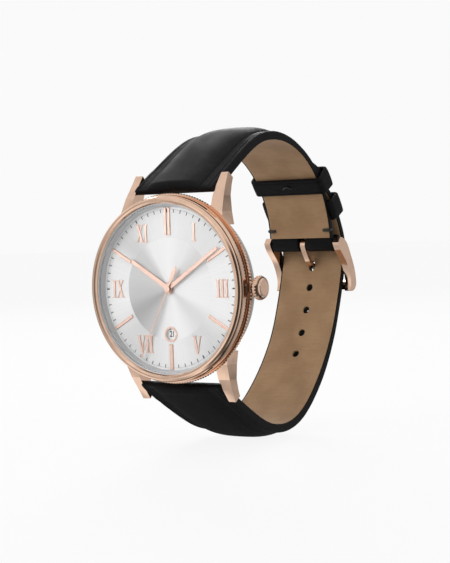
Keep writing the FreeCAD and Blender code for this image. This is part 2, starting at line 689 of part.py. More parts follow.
def crown_group():
    """Crown, stem, its tube in the case and the sliding pinion that turns with it."""
    depth = size("StemDepth")
    start = size("CrownInner")
    length, radius, end_radius = size("CrownLength"), size("CrownRadius"), size("CrownEndRadius")
    flutes = int(size("CrownFlutes"))
    section = [(0, start), (end_radius, start), (radius - 0.25, start + 0.5), (radius, start + 0.9),
               (radius, start + 1.35), (radius - 0.3, start + length - 0.45),
               (end_radius, start + length - 0.12), (end_radius - 0.15, start + length - 0.12),
               (end_radius - 0.25, start + length), (0, start + length)]
    corners = [V(x, depth + r, 0) for r, x in section]
    crown = Part.Face(Part.makePolygon(corners + corners[:1])).revolve(V(0, depth, 0), V(1, 0, 0), 360)
    grooves = []
    for i in range(flutes):
        angle = 2 * math.pi * i / flutes
        reach = radius + 0.12
        groove = along_x(0.26, start - 1, start + length - 0.3,
                         depth + reach * math.cos(angle), reach * math.sin(angle))
        grooves.append(groove)
    recess = along_x(size("TubeRadius") + 0.08, start - 0.5, start + 1.2, depth, 0)
    crown = crown.cut(grooves).cut(recess)
    feature("crown", crown.fuse(along_x(0.4, start + 0.9, start + 1.3, depth, 0)).removeSplitter())

    across = V(1, 0, 0)
    square = block("stem_square", (3.45, 0.5, 0.5), V(6.2, depth - 0.25, -0.25))
    shaft = rod("stem_shaft", 0.4, cell("CrownInner") + 0.9 - 9.6, V(9.6, depth, 0), across)
    thick = rod("stem_thick", cell("StemRadius"), 8.8, V(11.6, depth, 0), across)
    keep("stem", boolean("Fuse", "stem", square, [shaft, thick]))

    tube = rod("tube_outside", cell("TubeRadius"), 5.1, V(17.5, depth, 0), across)
    bore = rod("tube_bore", cell("StemRadius") + 0.05, 6.0, V(17.0, depth, 0), across)
    room = rod("tube_room", cell("CavityRadius"), 8.0, V(), FRONT)
    keep("crown_tube", boolean("Cut", "crown_tube", tube, [bore, room]))

    teeth = []
    for i in range(8):
        tooth = Part.makeBox(0.35, 0.3, 0.35, V(9.0, 0.5, -0.17))
        tooth.rotate(V(), V(1, 0, 0), 45 * i)
        tooth.translate(V(0, depth, 0))
        teeth.append(tooth)
    pinion = along_x(0.95, 6.9, 9.05, depth, 0).cut(along_x(1.2, 7.7, 8.2, depth, 0)).fuse(
        [along_x(0.65, 7.6, 8.3, depth, 0)] + teeth)
    feature("sliding_pinion", pinion.cut(
        Part.makeBox(4.0, 0.56, 0.56, V(6.5, depth - 0.28, -0.28))).removeSplitter())


# ---------------------------------------------------------------- spring bars

def spring_bar(prefix, y, z, half_gap):
    """A tube, two end pins that slide in it, and the coil spring between them when pressed."""
    across = V(1, 0, 0)
    tube_half = half_gap - cell("BarEndGap")
    start = V(-tube_half.value, y, z)
    outside = rod(prefix + "_outside", cell("BarRadius"), tube_half * 2, start, across)
    bore = rod(prefix + "_bore", cell("BarBore"), tube_half * 2, start, across)
    keep(prefix + "_tube", boolean("Cut", prefix + "_tube", outside, [bore]))
    inner = tube_half - cell("PinInside")
    reach = half_gap + cell("PinReach")
    for side, name in ((1, "_pin_crown_side"), (-1, "_pin_far_side")):
        pin = rod(prefix + name, cell("PinRadius"), reach - inner, V(side * inner.value, y, z), V(side, 0, 0))
        keep(prefix + name, pin)
    spring_half = inner.value - size("PinTravel") - 0.05
    path = Part.makeHelix(0.55, 2 * spring_half - 0.2, size("SpringRadius"))
    start = V(size("SpringRadius"), 0, 0)
    circle = Part.Wire(Part.makeCircle(size("SpringWire"), start, V(0, 1, 0)))
    coil = Part.Wire(path).makePipeShell([circle], True, True)
    coil.rotate(V(), V(0, 1, 0), 90)
    coil.translate(V(-spring_half + 0.1, y, z))
    feature(prefix + "_spring", coil)


# ---------------------------------------------------------------- strap

def on_arc(radius, degrees):
    """A point (y, z) on a circle about the centre that the strap is bent round."""
    angle = math.radians(degrees)
    return size("ArcY") + radius * math.cos(angle), size("ArcZ") + radius * math.sin(angle)


def point(yz):
    return V(0, yz[0], yz[1])


def curve(places):
    spline = Part.BSplineCurve()
    spline.interpolate(places)
    return spline


def solid_of(wire, half_width):
    """A solid with a side profile in the YZ plane, half_width to each side of the middle."""
    face = Part.Face(wire)
    face.translate(V(-half_width, 0, 0))
    return face.extrude(V(2 * half_width, 0, 0))


def strap_layer(run, side, inner, outer, half_width, steps=48):
    """A layer between two heights above the inner face; the heights are functions of 0 to 1."""
    low, high = run.FirstParameter, run.LastParameter
    near, far = [], []
    for i in range(steps + 1):
        part = i / steps
        place = run.value(low + (high - low) * part)
        along = run.tangent(low + (high - low) * part)[0]
        outward = V(0, -along.z, along.y) * side
        near.append(place + outward * inner(part))
        far.append(place + outward * outer(part))
    wire = Part.Wire([
        curve(near).toShape(), Part.makeLine(near[-1], far[-1]),
        curve(far).toShape().reversed(), Part.makeLine(far[0], near[0]),
    ])
    return solid_of(wire, half_width)


def eased(before, after, start, end):
    """A thickness that is one value before start, another after end, and eased between."""
    def thickness(part):
        share = min(max((part - start) / (end - start), 0.0), 1.0)
        return before + (after - before) * share * share * (3 - 2 * share)
    return thickness


def planform():
    """The strap's outline from above: wide between the lugs, narrow at the buckle."""
    wide, narrow = size("StrapHalfLug"), size("StrapHalfBuckle")
    edge = [(-8, wide), (size("TaperStart"), wide), (size("TaperEnd"), narrow), (60, narrow)]
    corners = [V(half, y, -60) for y, half in edge] + [V(-half, y, -60) for y, half in reversed(edge)]
    return Part.Face(Part.makePolygon(corners + corners[:1])).extrude(V(0, 0, 120))


def strap_half(prefix, run, side, bulge_end, pad_fade, extra, tools):
    """The lining and the leather of one half, with the padding as a raised middle."""
    lining, thin = size("LiningThickness"), size("StrapThin")
    wide = size("StrapHalfLug") + 1

    def base(part):
        return lining

    bulge = eased(size("StrapAtBar"), thin, 0.3 * bulge_end, bulge_end)
    pad = eased(size("StrapThick"), thin, *pad_fade)
    form = planform()
    inner = strap_layer(run, side, lambda part: 0.0, base, wide)
    outer = strap_layer(run, side, base, bulge, wide)
    raised = strap_layer(run, side, base, pad, size("StrapHalfBuckle") - size("PadInset"))
    outer = outer.fuse([raised] + extra)
    feature(prefix + "_lining", inner.common(form).cut(tools).removeSplitter())
    feature(prefix + "_leather", outer.common(form).cut(tools).removeSplitter())


def bar_hole(y, z):
    return along_x(size("BarRadius") + 0.05, -20, 20, y, z)


LUG_END = [(-3.2, 20.75), (-0.9, 22.3)]     # inner face of a strap half beside its spring bar


def twelve_half():
    """The buckle half: bent round a circle, with its end folded round the buckle bar."""
    radius = size("ArcRadius")
    turns = [3.0 + 101.0 * i / 12 for i in range(12, -1, -1)]
    run = curve([point(p) for p in LUG_END + [(3.3, 25.0), (6.9, 27.3), (11.6, 30.15)]]
                + [point(on_arc(radius, turn)) for turn in turns])
    bar_y, bar_z = buckle_bar()
    slot = Part.makeBox(2.0, 8.0, 4.6, V(-1.0, bar_y - 4.0, bar_z - 2.6))
    tools = [bar_hole(size("BarDepth"), size("BarFromAxis")), bar_hole(bar_y, bar_z), slot]
    strap_half("strap_12", run, 1, 0.12, (0.42, 0.64), [buckle_fold()], tools)


def buckle_bar():
    return on_arc(size("BuckleBarRadius"), size("BuckleBarAngle"))


def buckle_fold():
    """The end of the leather turned back round the buckle bar and sewn down."""
    y, z = buckle_bar()
    fold, half = size("FoldRadius"), size("StrapHalfBuckle")
    foot = size("ArcRadius") + size("LiningThickness") + 0.03
    top = size("ArcRadius") + size("StrapThin") + 0.55
    flap = side_polygon([(y - fold, z), on_arc(foot, 2.0), on_arc(foot, 6.0), on_arc(top, 9.0),
                         (y + fold, z)], -half, half)
    return along_x(fold, -half, half, y, z).fuse(flap)


# inner face of the long half, from its padded end past the holes to the keepers
LONG_RUN = [(3.3, -25.1), (6.5, -27.1), (11.7, -30.1), (16.4, -32.3), (22.0, -33.5), (27.7, -33.1),
            (32.8, -31.1), (38.1, -27.1), (42.6, -22.4), (46.0, -17.9), (48.7, -13.3), (50.8, -8.4),
            (52.7, -3.0), (54.2, 2.2), (54.9, 7.7), (52.3, 14.9), (49.4, 19.8)]
HOLES_AT = [(54.35, 2.8), (52.65, -2.75), (50.6, -8.3), (48.2, -13.9), (45.1, -19.0)]


def six_half():
    """The long half: padded near the lug, with the buckle holes, its tail inside the keepers."""
    tail = size("TailRadius")
    places = [(y, -z) for y, z in LUG_END] + LONG_RUN
    places += [on_arc(tail, turn) for turn in (29.5, 33, 37, 42, 47, 52)]
    run = curve([point(p) for p in places])
    tools = [bar_hole(size("BarDepth"), -size("BarFromAxis")), rounded_tip(tail, 35.0)]
    for place in HOLES_AT:
        at = run.parameter(point(place))
        along = run.tangent(at)[0]
        outward = V(0, along.z, -along.y)
        start = run.value(at) - outward * 3
        tools.append(Part.makeCylinder(size("HoleRadius"), 7, start, outward))
    strap_half("strap_6", run, -1, 0.06, (0.3, 0.5), [], tools)


def rounded_tip(tail, start):
    """What is cut from the tail so that it ends in a round tip."""
    beyond = arc_sector(tail - 3, tail + 5, start, start + 40, -15, 15)
    foot = on_arc(tail - 4, start)
    tip = on_arc(tail + 6, start)
    outward = point(tip) - point(foot)
    return beyond.cut(Part.makeCylinder(size("StrapHalfBuckle") + 0.2, outward.Length, point(foot), outward))


# ---------------------------------------------------------------- keepers and buckle

def arc_sector(inner, outer, start, end, x_low, x_high):
    """A slab between two radii and two angles about the strap's circle."""
    middle = (start + end) / 2
    low = Part.Arc(*[point(on_arc(inner, a)) for a in (start, middle, end)]).toShape()
    high = Part.Arc(*[point(on_arc(outer, a)) for a in (start, middle, end)]).toShape()
    wire = Part.Wire([low, Part.makeLine(point(on_arc(inner, end)), point(on_arc(outer, end))),
                      high.reversed(),
                      Part.makeLine(point(on_arc(outer, start)), point(on_arc(inner, start)))])
    face = Part.Face(wire)
    face.translate(V(x_low, 0, 0))
    return face.extrude(V(x_high - x_low, 0, 0))


def free_keeper():
    """A closed leather loop round both strap halves; it slides along the strap's circle."""
    half, skin = size("KeeperHalf"), size("KeeperThickness")
    inside = size("ArcRadius") - 0.12
    outside = size("TailRadius") + size("StrapThin") + 0.3
    start, end = size("KeeperStart"), size("KeeperStart") + size("KeeperSpan")
    body = arc_sector(inside - skin, outside + skin, start, end, -half - skin, half + skin)
    hollow = arc_sector(inside, outside, start - 1, end + 1, -half, half)
    rounding = [e for e in body.Edges if abs(abs(e.CenterOfMass.x) - half - skin) < 0.01
                and e.Length > size("KeeperThickness") * 4 and e.Curve.TypeId == "Part::GeomCircle"]
    feature("free_keeper", body.makeFillet(skin * 0.8, rounding).cut(hollow))


def fixed_keeper():
    """A leather bridge over the tail, its two ends sewn in at the strap's edges."""
    half, skin = size("KeeperHalf"), size("KeeperThickness")
    low, high = (54.45, 16.4), (51.5, 21.35)
    foot_radius = size("ArcRadius") + size("LiningThickness")
    feet = [on_arc(foot_radius, 24.6), on_arc(foot_radius, 14.2)]
    body = side_polygon([low, high] + feet, -half - skin, half + skin)
    along = math.hypot(high[0] - low[0], high[1] - low[1])
    inward = (-(high[1] - low[1]) / along * skin, (high[0] - low[0]) / along * skin)
    step = ((high[0] - low[0]) / along * 3, (high[1] - low[1]) / along * 3)
    roof = [(low[0] + inward[0] - step[0], low[1] + inward[1] - step[1]),
            (high[0] + inward[0] + step[0], high[1] + inward[1] + step[1])]
    hollow = side_polygon(roof + [(40.0, 24.0), (44.0, 10.0)], -half, half)
    top = [e for e in body.Edges if e.CenterOfMass.y > 52 and abs(abs(e.CenterOfMass.x) - half - skin) < 0.01]
    feature("fixed_keeper", body.makeFillet(skin * 0.8, top[:2]).cut(hollow))


TONGUE_RUN = [(50.35, 8.1), (50.9, 6.9), (51.9, 5.2), (53.3, 3.5), (54.6, 2.75), (56.0, 2.2),
              (57.3, 1.0), (57.95, -0.9), (58.0, -3.1)]


def buckle():
    """The frame: two curved arms from the buckle bar and a cross bar outside the strap's tail."""
    y, z = buckle_bar()
    inner, outer = size("ArmInner"), size("ArmOuter")
    front = [(50.3, 9.9), (53.0, 8.9), (55.2, 5.5), (56.7, 2.3), (57.4, -0.4), (57.5, -2.0)]
    rear = [(54.5, -3.6), (55.0, -1.6), (54.3, 1.2), (52.7, 4.0), (50.6, 6.3), (49.3, 8.6)]
    edges = [
        curve([point(p) for p in front]).toShape(),
        Part.Arc(point(front[-1]), point((56.6, -3.4)), point(rear[0])).toShape(),
        curve([point(p) for p in rear]).toShape(), Part.makeLine(point(rear[-1]), point(front[0])),
    ]
    plank = Part.Face(Part.Wire(edges))
    arms = []
    for low, high in ((inner, outer), (-outer, -inner)):
        face = plank.copy()
        face.translate(V(low, 0, 0))
        arms.append(face.extrude(V(high - low, 0, 0)))
    bar = side_polygon([(54.7, -3.4), (56.4, -3.35), (57.3, -2.3), (57.1, -1.1), (55.6, -1.5), (54.9, -2.2)],
                       -inner - 0.2, inner + 0.2)
    frame = arms[0].fuse([arms[1], bar])
    for side in (1, -1):
        frame = frame.cut(along_x(size("PinHoleRadius"), side * (inner - 0.5), side * (inner + 1.4), y, z))
    feature("buckle_frame", frame.removeSplitter())

    eye = size("BarRadius") + 0.05
    half = size("TongueWidth") / 2
    loop = along_x(eye + 0.55, -half, half, y, z)
    middle = curve([point(p) for p in TONGUE_RUN])
    blade = strap_layer(middle, 1, lambda part: -0.45, lambda part: 0.45, half)
    tongue = loop.fuse(blade).cut(along_x(eye, -2, 2, y, z))
    feature("buckle_tongue", tongue.removeSplitter())


# ---------------------------------------------------------------- build and write

case_middle()
bezel_and_glass()
case_back()
dial()
hour_batons()
hour_numerals()
hands()
going_train()
motion_work()
movement_frame()
electrics()
crown_group()
spring_bar("lug_bar_12", size("BarDepth"), size("BarFromAxis"), cell("LugGap") / 2)
spring_bar("lug_bar_6", size("BarDepth"), -size("BarFromAxis"), cell("LugGap") / 2)
spring_bar("buckle_bar", *buckle_bar(), cell("ArmInner"))
twelve_half()
six_half()
free_keeper()
fixed_keeper()
buckle()
doc.recompute()

for thing in doc.Objects:
    if "Invalid" in thing.State or "Error" in thing.State:
        raise RuntimeError(f"{thing.Label} failed: {thing.State}")
os.makedirs("parts", exist_ok=True)
for name, thing in nodes.items():
    shape = thing.Shape
    if shape.isNull() or not shape.isValid():
        raise RuntimeError(f"{name} has no valid shape")
    shape.exportStep(f"parts/{name}.step")
    print(f"{name}: {len(shape.Solids)} solid(s), {shape.Volume:.2f} mm3")
print(len(nodes), "nodes")
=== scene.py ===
import bpy
import bmesh
import json
import math
from mathutils import Matrix, Vector
from mathutils.bvhtree import BVHTree


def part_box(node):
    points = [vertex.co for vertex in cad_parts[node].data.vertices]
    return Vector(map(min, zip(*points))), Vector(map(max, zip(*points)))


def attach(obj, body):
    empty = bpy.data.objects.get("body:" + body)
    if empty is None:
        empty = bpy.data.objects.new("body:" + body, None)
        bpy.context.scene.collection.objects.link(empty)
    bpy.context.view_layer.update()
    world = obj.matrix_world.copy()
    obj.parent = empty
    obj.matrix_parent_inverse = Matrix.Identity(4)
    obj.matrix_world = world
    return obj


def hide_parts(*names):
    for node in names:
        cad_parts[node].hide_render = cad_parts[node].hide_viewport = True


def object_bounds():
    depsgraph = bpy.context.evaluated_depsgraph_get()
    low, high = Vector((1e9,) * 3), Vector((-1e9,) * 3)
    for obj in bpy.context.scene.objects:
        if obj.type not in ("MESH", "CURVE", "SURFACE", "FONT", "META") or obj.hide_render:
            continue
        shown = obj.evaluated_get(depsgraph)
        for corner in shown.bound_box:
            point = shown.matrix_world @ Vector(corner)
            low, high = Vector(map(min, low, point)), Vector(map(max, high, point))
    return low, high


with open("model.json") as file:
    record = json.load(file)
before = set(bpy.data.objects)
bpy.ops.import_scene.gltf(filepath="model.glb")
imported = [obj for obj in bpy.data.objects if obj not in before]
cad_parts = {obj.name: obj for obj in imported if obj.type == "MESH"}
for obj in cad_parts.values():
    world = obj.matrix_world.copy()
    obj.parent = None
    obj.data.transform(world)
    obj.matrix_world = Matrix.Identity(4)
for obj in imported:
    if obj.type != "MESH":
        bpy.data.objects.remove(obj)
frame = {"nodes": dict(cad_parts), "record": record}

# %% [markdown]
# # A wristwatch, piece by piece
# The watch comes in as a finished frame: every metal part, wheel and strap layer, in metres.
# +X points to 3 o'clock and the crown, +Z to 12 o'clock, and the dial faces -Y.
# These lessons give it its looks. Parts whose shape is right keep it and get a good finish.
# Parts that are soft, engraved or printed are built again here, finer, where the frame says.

MM = 0.001
cad_box = [list(corner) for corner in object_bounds()]
NODES = frame["nodes"]
print("frame, mm:", [round((high - low) / MM, 1) for low, high in zip(*cad_box)])


def new_object(name, data):
    """An object in the scene that shows a mesh, a text, a lamp or a camera."""
    made = bpy.data.objects.new(name, data)
    bpy.context.scene.collection.objects.link(made)
    return made


# %% [markdown]
# ## The camera
# A watch is best shown from a little over a third of a metre with a long lens, so that the case
# stays round. The camera stands to the right of the dial, almost level with it. We build its axes
# from the three angles and place it along the one that points back from the dial.

# %% Camera
VIEW_AZIMUTH, VIEW_ELEVATION, VIEW_ROLL = (math.radians(a) for a in (34.758, 2.061, -1.886))
VIEW_DISTANCE, VIEW_RIGHT, VIEW_UP = 376.53 * MM, 12.44 * MM, 1.635 * MM
LENS, SENSOR = 107.13, 36
DIAL_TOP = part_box("dial")[0].y


def place_camera():
    back = Vector((math.sin(VIEW_AZIMUTH) * math.cos(VIEW_ELEVATION),
                   -math.cos(VIEW_AZIMUTH) * math.cos(VIEW_ELEVATION), math.sin(VIEW_ELEVATION)))
    level = (-back).cross(Vector((0, 0, 1))).normalized()
    above = level.cross(-back)
    right = math.cos(VIEW_ROLL) * level + math.sin(VIEW_ROLL) * above
    up = math.cos(VIEW_ROLL) * above - math.sin(VIEW_ROLL) * level
    data = bpy.data.cameras.new("studio_camera")
    data.lens, data.sensor_width = LENS, SENSOR
    data.clip_start, data.clip_end = 0.01, 20
    camera = new_object("studio_camera", data)
    place = Vector((0, DIAL_TOP, 0)) + back * VIEW_DISTANCE + right * VIEW_RIGHT + up * VIEW_UP
    camera.matrix_world = Matrix.Translation(place) @ Matrix((right, up, back)).transposed().to_4x4()
    bpy.context.scene.camera = camera
    return camera


camera = place_camera()
bpy.context.scene.view_settings.view_transform = "Standard"
print("camera stands at, mm:", [round(c / MM) for c in camera.location])

# %% [markdown]
# ## The studio
# Polished metal shows the room. In a plain white room it looks like plastic, so a studio has grey
# boards between its white panels, and the metal gets its dark lines from them. We paint such a room
# on the world for glossy rays only. Everything else gets soft, even light from it, and what the
# camera sees behind the watch is nearly white. Three of the lamps aren't mirrored, because their
# sharp outlines would burn out on the bezel. Only the lamp behind the watch is.

# %% Node helpers


def new_material(name):
    """A material with its node tree, Principled shader and a helper that adds nodes."""
    material = bpy.data.materials.new(name)
    material.use_nodes = True
    return material, Tree(material.node_tree)


class Tree:
    """Adds and joins shader nodes in few words."""

    def __init__(self, tree):
        self.tree = tree
        self.shader = tree.nodes.get("Principled BSDF")

    def add(self, kind, sets=None, **links):
        """A node; sets holds its own settings, and links its inputs: numbers, colours or sockets."""
        node = self.tree.nodes.new("ShaderNode" + kind)
        for key, value in (sets or {}).items():
            setattr(node, key, value)
        for key, value in links.items():
            socket = node.inputs[int(key[1:]) if key[1:].isdigit() else key.replace("_", " ")]
            self.put(socket, value)
        return node

    def put(self, socket, value):
        if isinstance(value, bpy.types.NodeSocket):
            self.tree.links.new(value, socket)
        else:
            socket.default_value = value

    def surface(self, **values):
        """Sets the Principled shader's inputs; a space in an input's name is written as _."""
        for key, value in values.items():
            self.put(self.shader.inputs[key.replace("_", " ")], value)

    def math(self, operation, a, b=0.0, clamp=False):
        node = self.add("Math", {"operation": operation, "use_clamp": clamp}, _0=a, _1=b)
        return node.outputs[0]

    def scaled(self, value, factor, base):
        """value * factor + base; each may be a number or a socket."""
        node = self.add("Math", {"operation": "MULTIPLY_ADD"}, _0=value, _1=factor, _2=base)
        return node.outputs[0]

    def ramp(self, factor, stops, smooth=True):
        """A colour ramp; stops are (place, grey or colour)."""
        node = self.add("ValToRGB", _0=factor)
        node.color_ramp.interpolation = "EASE" if smooth else "LINEAR"
        elements = node.color_ramp.elements
        while len(elements) < len(stops):
            elements.new(0.5)
        for element, (place, tone) in zip(elements, stops):
            element.position = place
            element.color = (*tone, 1) if isinstance(tone, tuple) else (tone, tone, tone, 1)
        return node.outputs[0]

    def mix(self, factor, a, b):
        node = self.add("Mix", {"data_type": "RGBA"})
        self.put(node.inputs[0], factor)
        self.put(node.inputs[6], a if isinstance(a, bpy.types.NodeSocket) else (*a, 1))
        self.put(node.inputs[7], b if isinstance(b, bpy.types.NodeSocket) else (*b, 1))
        return node.outputs[2]


# %% World and lamps
BACKDROP = 0.955


def turn_place(degrees):
    """Where a compass direction lies on the ramp: 0 is the dial's side, 90 the crown's side."""
    return degrees / 360 + 0.5


def paint_world():
    world = bpy.data.worlds.new("studio")
    bpy.context.scene.world = world
    world.use_nodes = True
    world.node_tree.nodes.clear()
    tree = Tree(world.node_tree)
    way = tree.add("TexCoord").outputs["Generated"]
    parts = tree.add("SeparateXYZ", _0=way).outputs
    front = tree.math("MULTIPLY", parts[1], -1.0)
    turn = tree.math("ARCTAN2", parts[0], front)
    place = tree.scaled(turn, 1 / (2 * math.pi), 0.5)
    around = tree.ramp(place, [(turn_place(-180), 0.30), (turn_place(-120), 0.05), (turn_place(-88), 1.05),
                               (turn_place(-50), 0.50), (turn_place(-22), 1.05), (turn_place(0), 0.16),
                               (turn_place(34), 0.05), (turn_place(58), 0.35), (turn_place(82), 0.90),
                               (turn_place(104), 0.50), (turn_place(122), 0.06), (turn_place(142), 0.58),
                               (turn_place(180), 0.30)])
    height = tree.ramp(parts[2], [(0.0, 0.0), (0.35, 0.0), (0.62, 1.0), (1.0, 1.0)])
    room = tree.mix(height, around, (0.82, 0.82, 0.82))
    rays = tree.add("LightPath").outputs
    seen = tree.mix(rays["Is Glossy Ray"], (0.74, 0.74, 0.75), room)
    seen = tree.mix(rays["Is Camera Ray"], seen, (BACKDROP,) * 3)
    background = tree.add("Background", Color=seen, Strength=1.0)
    output = tree.add("OutputWorld")
    tree.tree.links.new(background.outputs[0], output.inputs[0])


def soft_lamp(name, place, aim, wide, tall, watts, mirrored=False):
    data = bpy.data.lights.new(name, "AREA")
    data.shape, data.size, data.size_y, data.energy = "RECTANGLE", wide, tall, watts
    lamp = new_object(name, data)
    lamp.location = place
    lamp.rotation_euler = (Vector(aim) - Vector(place)).to_track_quat("-Z", "Y").to_euler()
    lamp.visible_glossy = mirrored


paint_world()
soft_lamp("panel_left", (-0.45, -0.55, 0.30), (0, 0.02, 0), 0.40, 0.50, 2.6)
soft_lamp("panel_behind", (-0.38, 0.50, 0.30), (0, 0.02, 0.02), 0.30, 0.22, 1.1, mirrored=True)
soft_lamp("panel_above", (0.05, -0.05, 0.70), (0, 0.03, 0), 0.30, 0.30, 1.2)
soft_lamp("panel_right", (0.55, 0.05, 0.15), (0, 0.03, 0), 0.25, 0.45, 0.9)
print("lamps:", len(bpy.data.lights))

# %% [markdown]
# ## The floor
# The watch stands on a light table: a pale sheet that is lit from below as well as from above. It
# keeps only a faint shadow where the strap touches it. A big disc does, and the frame gives its level.
# Its glow is set so that it is as pale as the backdrop, and the metal doesn't mirror it.

# %% Floor
FLOOR_RADIUS = 3.0


def make_floor():
    mesh = bpy.data.meshes.new("light_table")
    shape = bmesh.new()
    bmesh.ops.create_circle(shape, cap_ends=True, segments=96, radius=FLOOR_RADIUS)
    shape.to_mesh(mesh)
    shape.free()
    floor = new_object("light_table", mesh)
    floor.location.z = cad_box[0][2] - 0.05 * MM
    material, tree = new_material("light_table")
    tree.surface(Base_Color=(0.04, 0.04, 0.04, 1))
    tree.surface(Roughness=0.8)
    tree.surface(Specular_IOR_Level=0.1)
    tree.surface(Emission_Color=(1, 1, 1, 1))
    tree.surface(Emission_Strength=0.888)
    mesh.materials.append(material)
    floor.visible_glossy = False
    return floor


floor = make_floor()
print("floor at, mm:", round(floor.location.z / MM, 2))

# %% [markdown]
# ## Effects that several finishes share
# Each is a node group: a small machine with named sockets that is built once. It reads a point of
# the surface in millimetres and gives a mask or a height. The material decides what to do with it.

# %% Group helper


def new_group(name, inputs, outputs):
    """A shader group; inputs are (name, default) and outputs are names of values."""
    group = bpy.data.node_groups.new(name, "ShaderNodeTree")
    for label, value in inputs:
        socket = group.interface.new_socket(name=label, in_out="INPUT", socket_type="NodeSocketFloat")
        socket.default_value = value
    for label in outputs:
        group.interface.new_socket(name=label, in_out="OUTPUT", socket_type="NodeSocketFloat")
    tree = Tree(group)
    entry = group.nodes.new("NodeGroupInput").outputs
    finish = group.nodes.new("NodeGroupOutput").inputs
    point = tree.add("VectorMath", {"operation": "SCALE"}, _0=tree.add("TexCoord").outputs["Object"])
    point.inputs["Scale"].default_value = 1 / MM
    return group, tree, entry, finish, point.outputs[0]


def use_group(tree, group, **values):
    node = tree.add("Group", {"node_tree": group})
    for key, value in values.items():
        tree.put(node.inputs[key.replace("_", " ")], value)
    return node.outputs


def bump(tree, height, depth_mm, strength=1.0):
    """Raises the surface by up to depth_mm where height is 1."""
    node = tree.add("Bump", Height=height, Strength=strength, Distance=depth_mm * MM)
    tree.surface(Normal=node.outputs[0])


# %% Handling marks: hairlines and finger smudges on polished metal and glass


def make_handling_marks():
    group, tree, entry, finish, point = new_group(
        "handling_marks", [("Size", 1.0)], ["Smudge", "Hairline"])
    smudge = tree.add("TexNoise", Vector=point, Scale=tree.math("DIVIDE", 0.35, entry["Size"]), Detail=3.0)
    tree.put(finish["Smudge"], tree.ramp(smudge.outputs[0], [(0.42, 0.0), (0.72, 1.0)]))
    stretched = tree.add("Mapping", Vector=point)
    stretched.inputs["Rotation"].default_value = (0.4, 0.9, 0.3)
    stretched.inputs["Scale"].default_value = (0.25, 9.0, 9.0)
    lines = tree.add("TexNoise", Vector=stretched.outputs[0], Scale=1.6, Detail=2.0)
    tree.put(finish["Hairline"], tree.ramp(lines.outputs[0], [(0.62, 0.0), (0.70, 1.0)]))
    return group


# %% Turned lines: the fine rings that a lathe or a brush leaves round the hands' axis


def reach_from_axis(tree, across, along):
    """How far a point is from an axis, from its two distances square to it."""
    squares = tree.math("ADD", tree.math("POWER", across, 2.0), tree.math("POWER", along, 2.0))
    return tree.math("SQRT", squares)


def make_turned_lines():
    group, tree, entry, finish, point = new_group(
        "turned_lines", [("Lines per mm", 9.0)], ["Height", "Tone"])
    parts = tree.add("SeparateXYZ", _0=point).outputs
    place = tree.math("MULTIPLY", reach_from_axis(tree, parts[0], parts[2]), entry["Lines per mm"])
    rings = tree.add("TexNoise", {"noise_dimensions": "1D"}, W=place, Scale=1.0, Detail=2.0)
    tree.put(finish["Height"], rings.outputs[0])
    tree.put(finish["Tone"], tree.ramp(rings.outputs[0], [(0.3, 0.0), (0.7, 1.0)]))
    return group


# %% Sun rays: fine straight lines that run out from the middle of a dial


def make_sun_rays():
    group, tree, entry, finish, point = new_group(
        "sun_rays", [("Lines", 240.0)], ["Height", "Turn", "Reach"])
    parts = tree.add("SeparateXYZ", _0=point).outputs
    angle = tree.math("ARCTAN2", parts[0], parts[2])
    turn = tree.math("ADD", tree.math("MULTIPLY", angle, 1 / (2 * math.pi)), 1.0)
    turn = tree.math("FRACT", turn)
    rays = tree.add("TexNoise", {"noise_dimensions": "1D"}, W=tree.math("MULTIPLY", turn, entry["Lines"]),
                    Scale=1.0, Detail=3.0)
    tree.put(finish["Height"], rays.outputs[0])
    tree.put(finish["Turn"], turn)
    tree.put(finish["Reach"], reach_from_axis(tree, parts[0], parts[2]))
    return group


# %% Hide grain: the pores and creases of smooth calf leather


def make_hide_grain():
    group, tree, entry, finish, point = new_group(
        "hide_grain", [("Pores per mm", 3.2)], ["Height", "Crease", "Wear"])
    warp = tree.add("TexNoise", Vector=point, Scale=0.6, Detail=2.0)
    bent = tree.add("VectorMath", {"operation": "MULTIPLY_ADD"}, _0=warp.outputs["Color"], _2=point)
    bent.inputs[1].default_value = (0.8, 0.8, 0.8)
    cells = tree.add("TexVoronoi", {"feature": "DISTANCE_TO_EDGE"}, Vector=bent.outputs[0],
                     Scale=entry["Pores per mm"])
    pores = tree.ramp(cells.outputs["Distance"], [(0.0, 0.0), (0.22, 1.0)])
    folds = tree.add("TexNoise", Vector=point, Scale=0.45, Detail=4.0)
    crease = tree.ramp(folds.outputs[0], [(0.47, 0.0), (0.50, 1.0), (0.53, 0.0)])
    wear = tree.add("TexNoise", Vector=point, Scale=0.12, Detail=3.0)
    tree.put(finish["Height"], pores)
    tree.put(finish["Crease"], crease)
    tree.put(finish["Wear"], tree.ramp(wear.outputs[0], [(0.35, 0.0), (0.68, 1.0)]))
    return group


# %% Brushed nap: the short cross lines and soft blotches of an unfinished lining


def make_brushed_nap():
    group, tree, entry, finish, point = new_group(
        "brushed_nap", [("Lines per mm", 2.6)], ["Lines", "Blotch", "Fuzz"])
    stretched = tree.add("Mapping", Vector=point)
    stretched.inputs["Scale"].default_value = (0.16, 1.0, 1.0)
    lines = tree.add("TexNoise", Vector=stretched.outputs[0], Scale=entry["Lines per mm"], Detail=3.0)
    blotch = tree.add("TexNoise", Vector=point, Scale=0.13, Detail=4.0)
    fuzz = tree.add("TexNoise", Vector=point, Scale=7.0, Detail=3.0)
    tree.put(finish["Lines"], tree.ramp(lines.outputs[0], [(0.33, 0.0), (0.67, 1.0)]))
    tree.put(finish["Blotch"], tree.ramp(blotch.outputs[0], [(0.32, 0.0), (0.70, 1.0)]))
    tree.put(finish["Fuzz"], fuzz.outputs[0])
    return group


